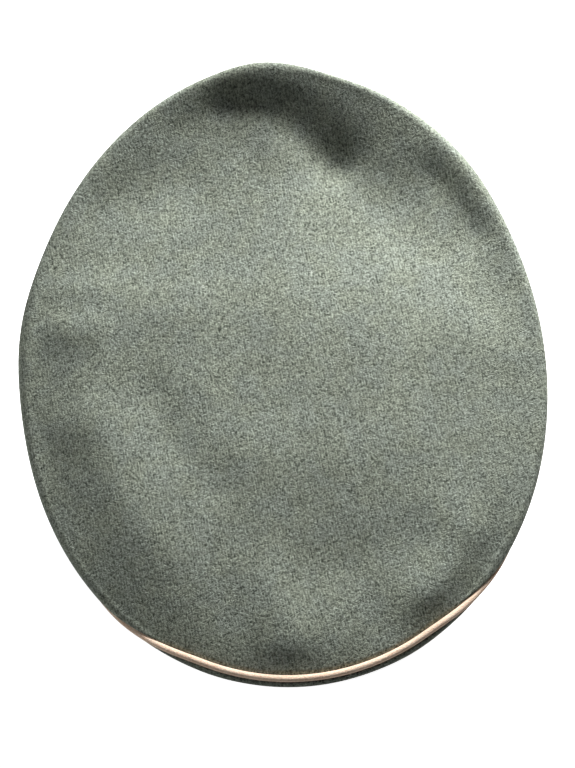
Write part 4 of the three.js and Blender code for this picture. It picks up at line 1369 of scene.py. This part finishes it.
# Each light's name, place, size in metres and power in watts.
LIGHTS = [
    ("key", (-0.22, -0.5, 0.45), 0.3, 11.4),
    ("left_fill", (0.62, 0.08, 0.42), 0.5, 0.9),
]
CAMERA_ELEVATION, CAMERA_ROLL = np.radians(66), np.radians(-3.77)
CAMERA_DISTANCE = 0.5935
CAMERA_LENS, CAMERA_FILM = 60, 36
CAMERA_TARGET = np.array((-0.00162, 0.01608, 0.110))


def floor():
    mesh = bpy.data.meshes.new("floor")
    corners = [(x * FLOOR_HALF, y * FLOOR_HALF, 0) for x, y in ((-1, -1), (1, -1), (1, 1), (-1, 1))]
    mesh.from_pydata(corners, [], [(0, 1, 2, 3)])
    plane = placed("floor", mesh)
    f = Finish("floor_paper")
    seen = f.node("LightPath", "Is Camera Ray")
    mesh.materials.append(
        f.finish(
            Base_Color=(0.9, 0.9, 0.9, 1),
            Roughness=0.9,
            Emission_Color=WHITE,
            Emission_Strength=f.spread(seen, 0, 1, FLOOR_GLOW, FLOOR_SEEN),
        )
    )


def area_light(name, place, size, power):
    data = bpy.data.lights.new(name, "AREA")
    data.shape, data.size, data.energy = "DISK", size, power
    lamp = placed(name, data)
    lamp.location = place
    lamp.rotation_euler = (Vector(CAP_MIDDLE) - Vector(place)).to_track_quat("-Z", "Y").to_euler()


def camera():
    """Looks from behind and above, turned a little about its own line of sight."""
    back = np.array((0, np.cos(CAMERA_ELEVATION), np.sin(CAMERA_ELEVATION)))
    right = np.array((-1.0, 0, 0))
    up = np.cross(back, right)
    cos, sin = np.cos(CAMERA_ROLL), np.sin(CAMERA_ROLL)
    axes = np.array([right * cos + up * sin, up * cos - right * sin, back])
    data = bpy.data.cameras.new("camera")
    data.lens, data.sensor_width = CAMERA_LENS, CAMERA_FILM
    viewer = placed("camera", data)
    place = Matrix.Translation(CAMERA_TARGET + back * CAMERA_DISTANCE)
    viewer.matrix_world = place @ Matrix(axes.T.tolist()).to_4x4()
    bpy.context.scene.camera = viewer


def world():
    """Even light all round, and a white background where the floor ends."""
    sky = bpy.data.worlds.new("studio")
    sky.use_nodes = True
    tree = sky.node_tree
    fill, backdrop = tree.nodes["Background"], tree.nodes.new("ShaderNodeBackground")
    fill.inputs["Color"].default_value = backdrop.inputs["Color"].default_value = WHITE
    fill.inputs["Strength"].default_value = FILL_LIGHT
    seen = tree.nodes.new("ShaderNodeLightPath").outputs["Is Camera Ray"]
    either = tree.nodes.new("ShaderNodeMixShader")
    tree.links.new(seen, either.inputs[0])
    tree.links.new(fill.outputs[0], either.inputs[1])
    tree.links.new(backdrop.outputs[0], either.inputs[2])
    tree.links.new(either.outputs[0], tree.nodes["World Output"].inputs["Surface"])
    bpy.context.scene.world = sky
    bpy.context.scene.view_settings.view_transform = "Standard"


floor()
for light in LIGHTS:
    area_light(*light)
camera()
world()
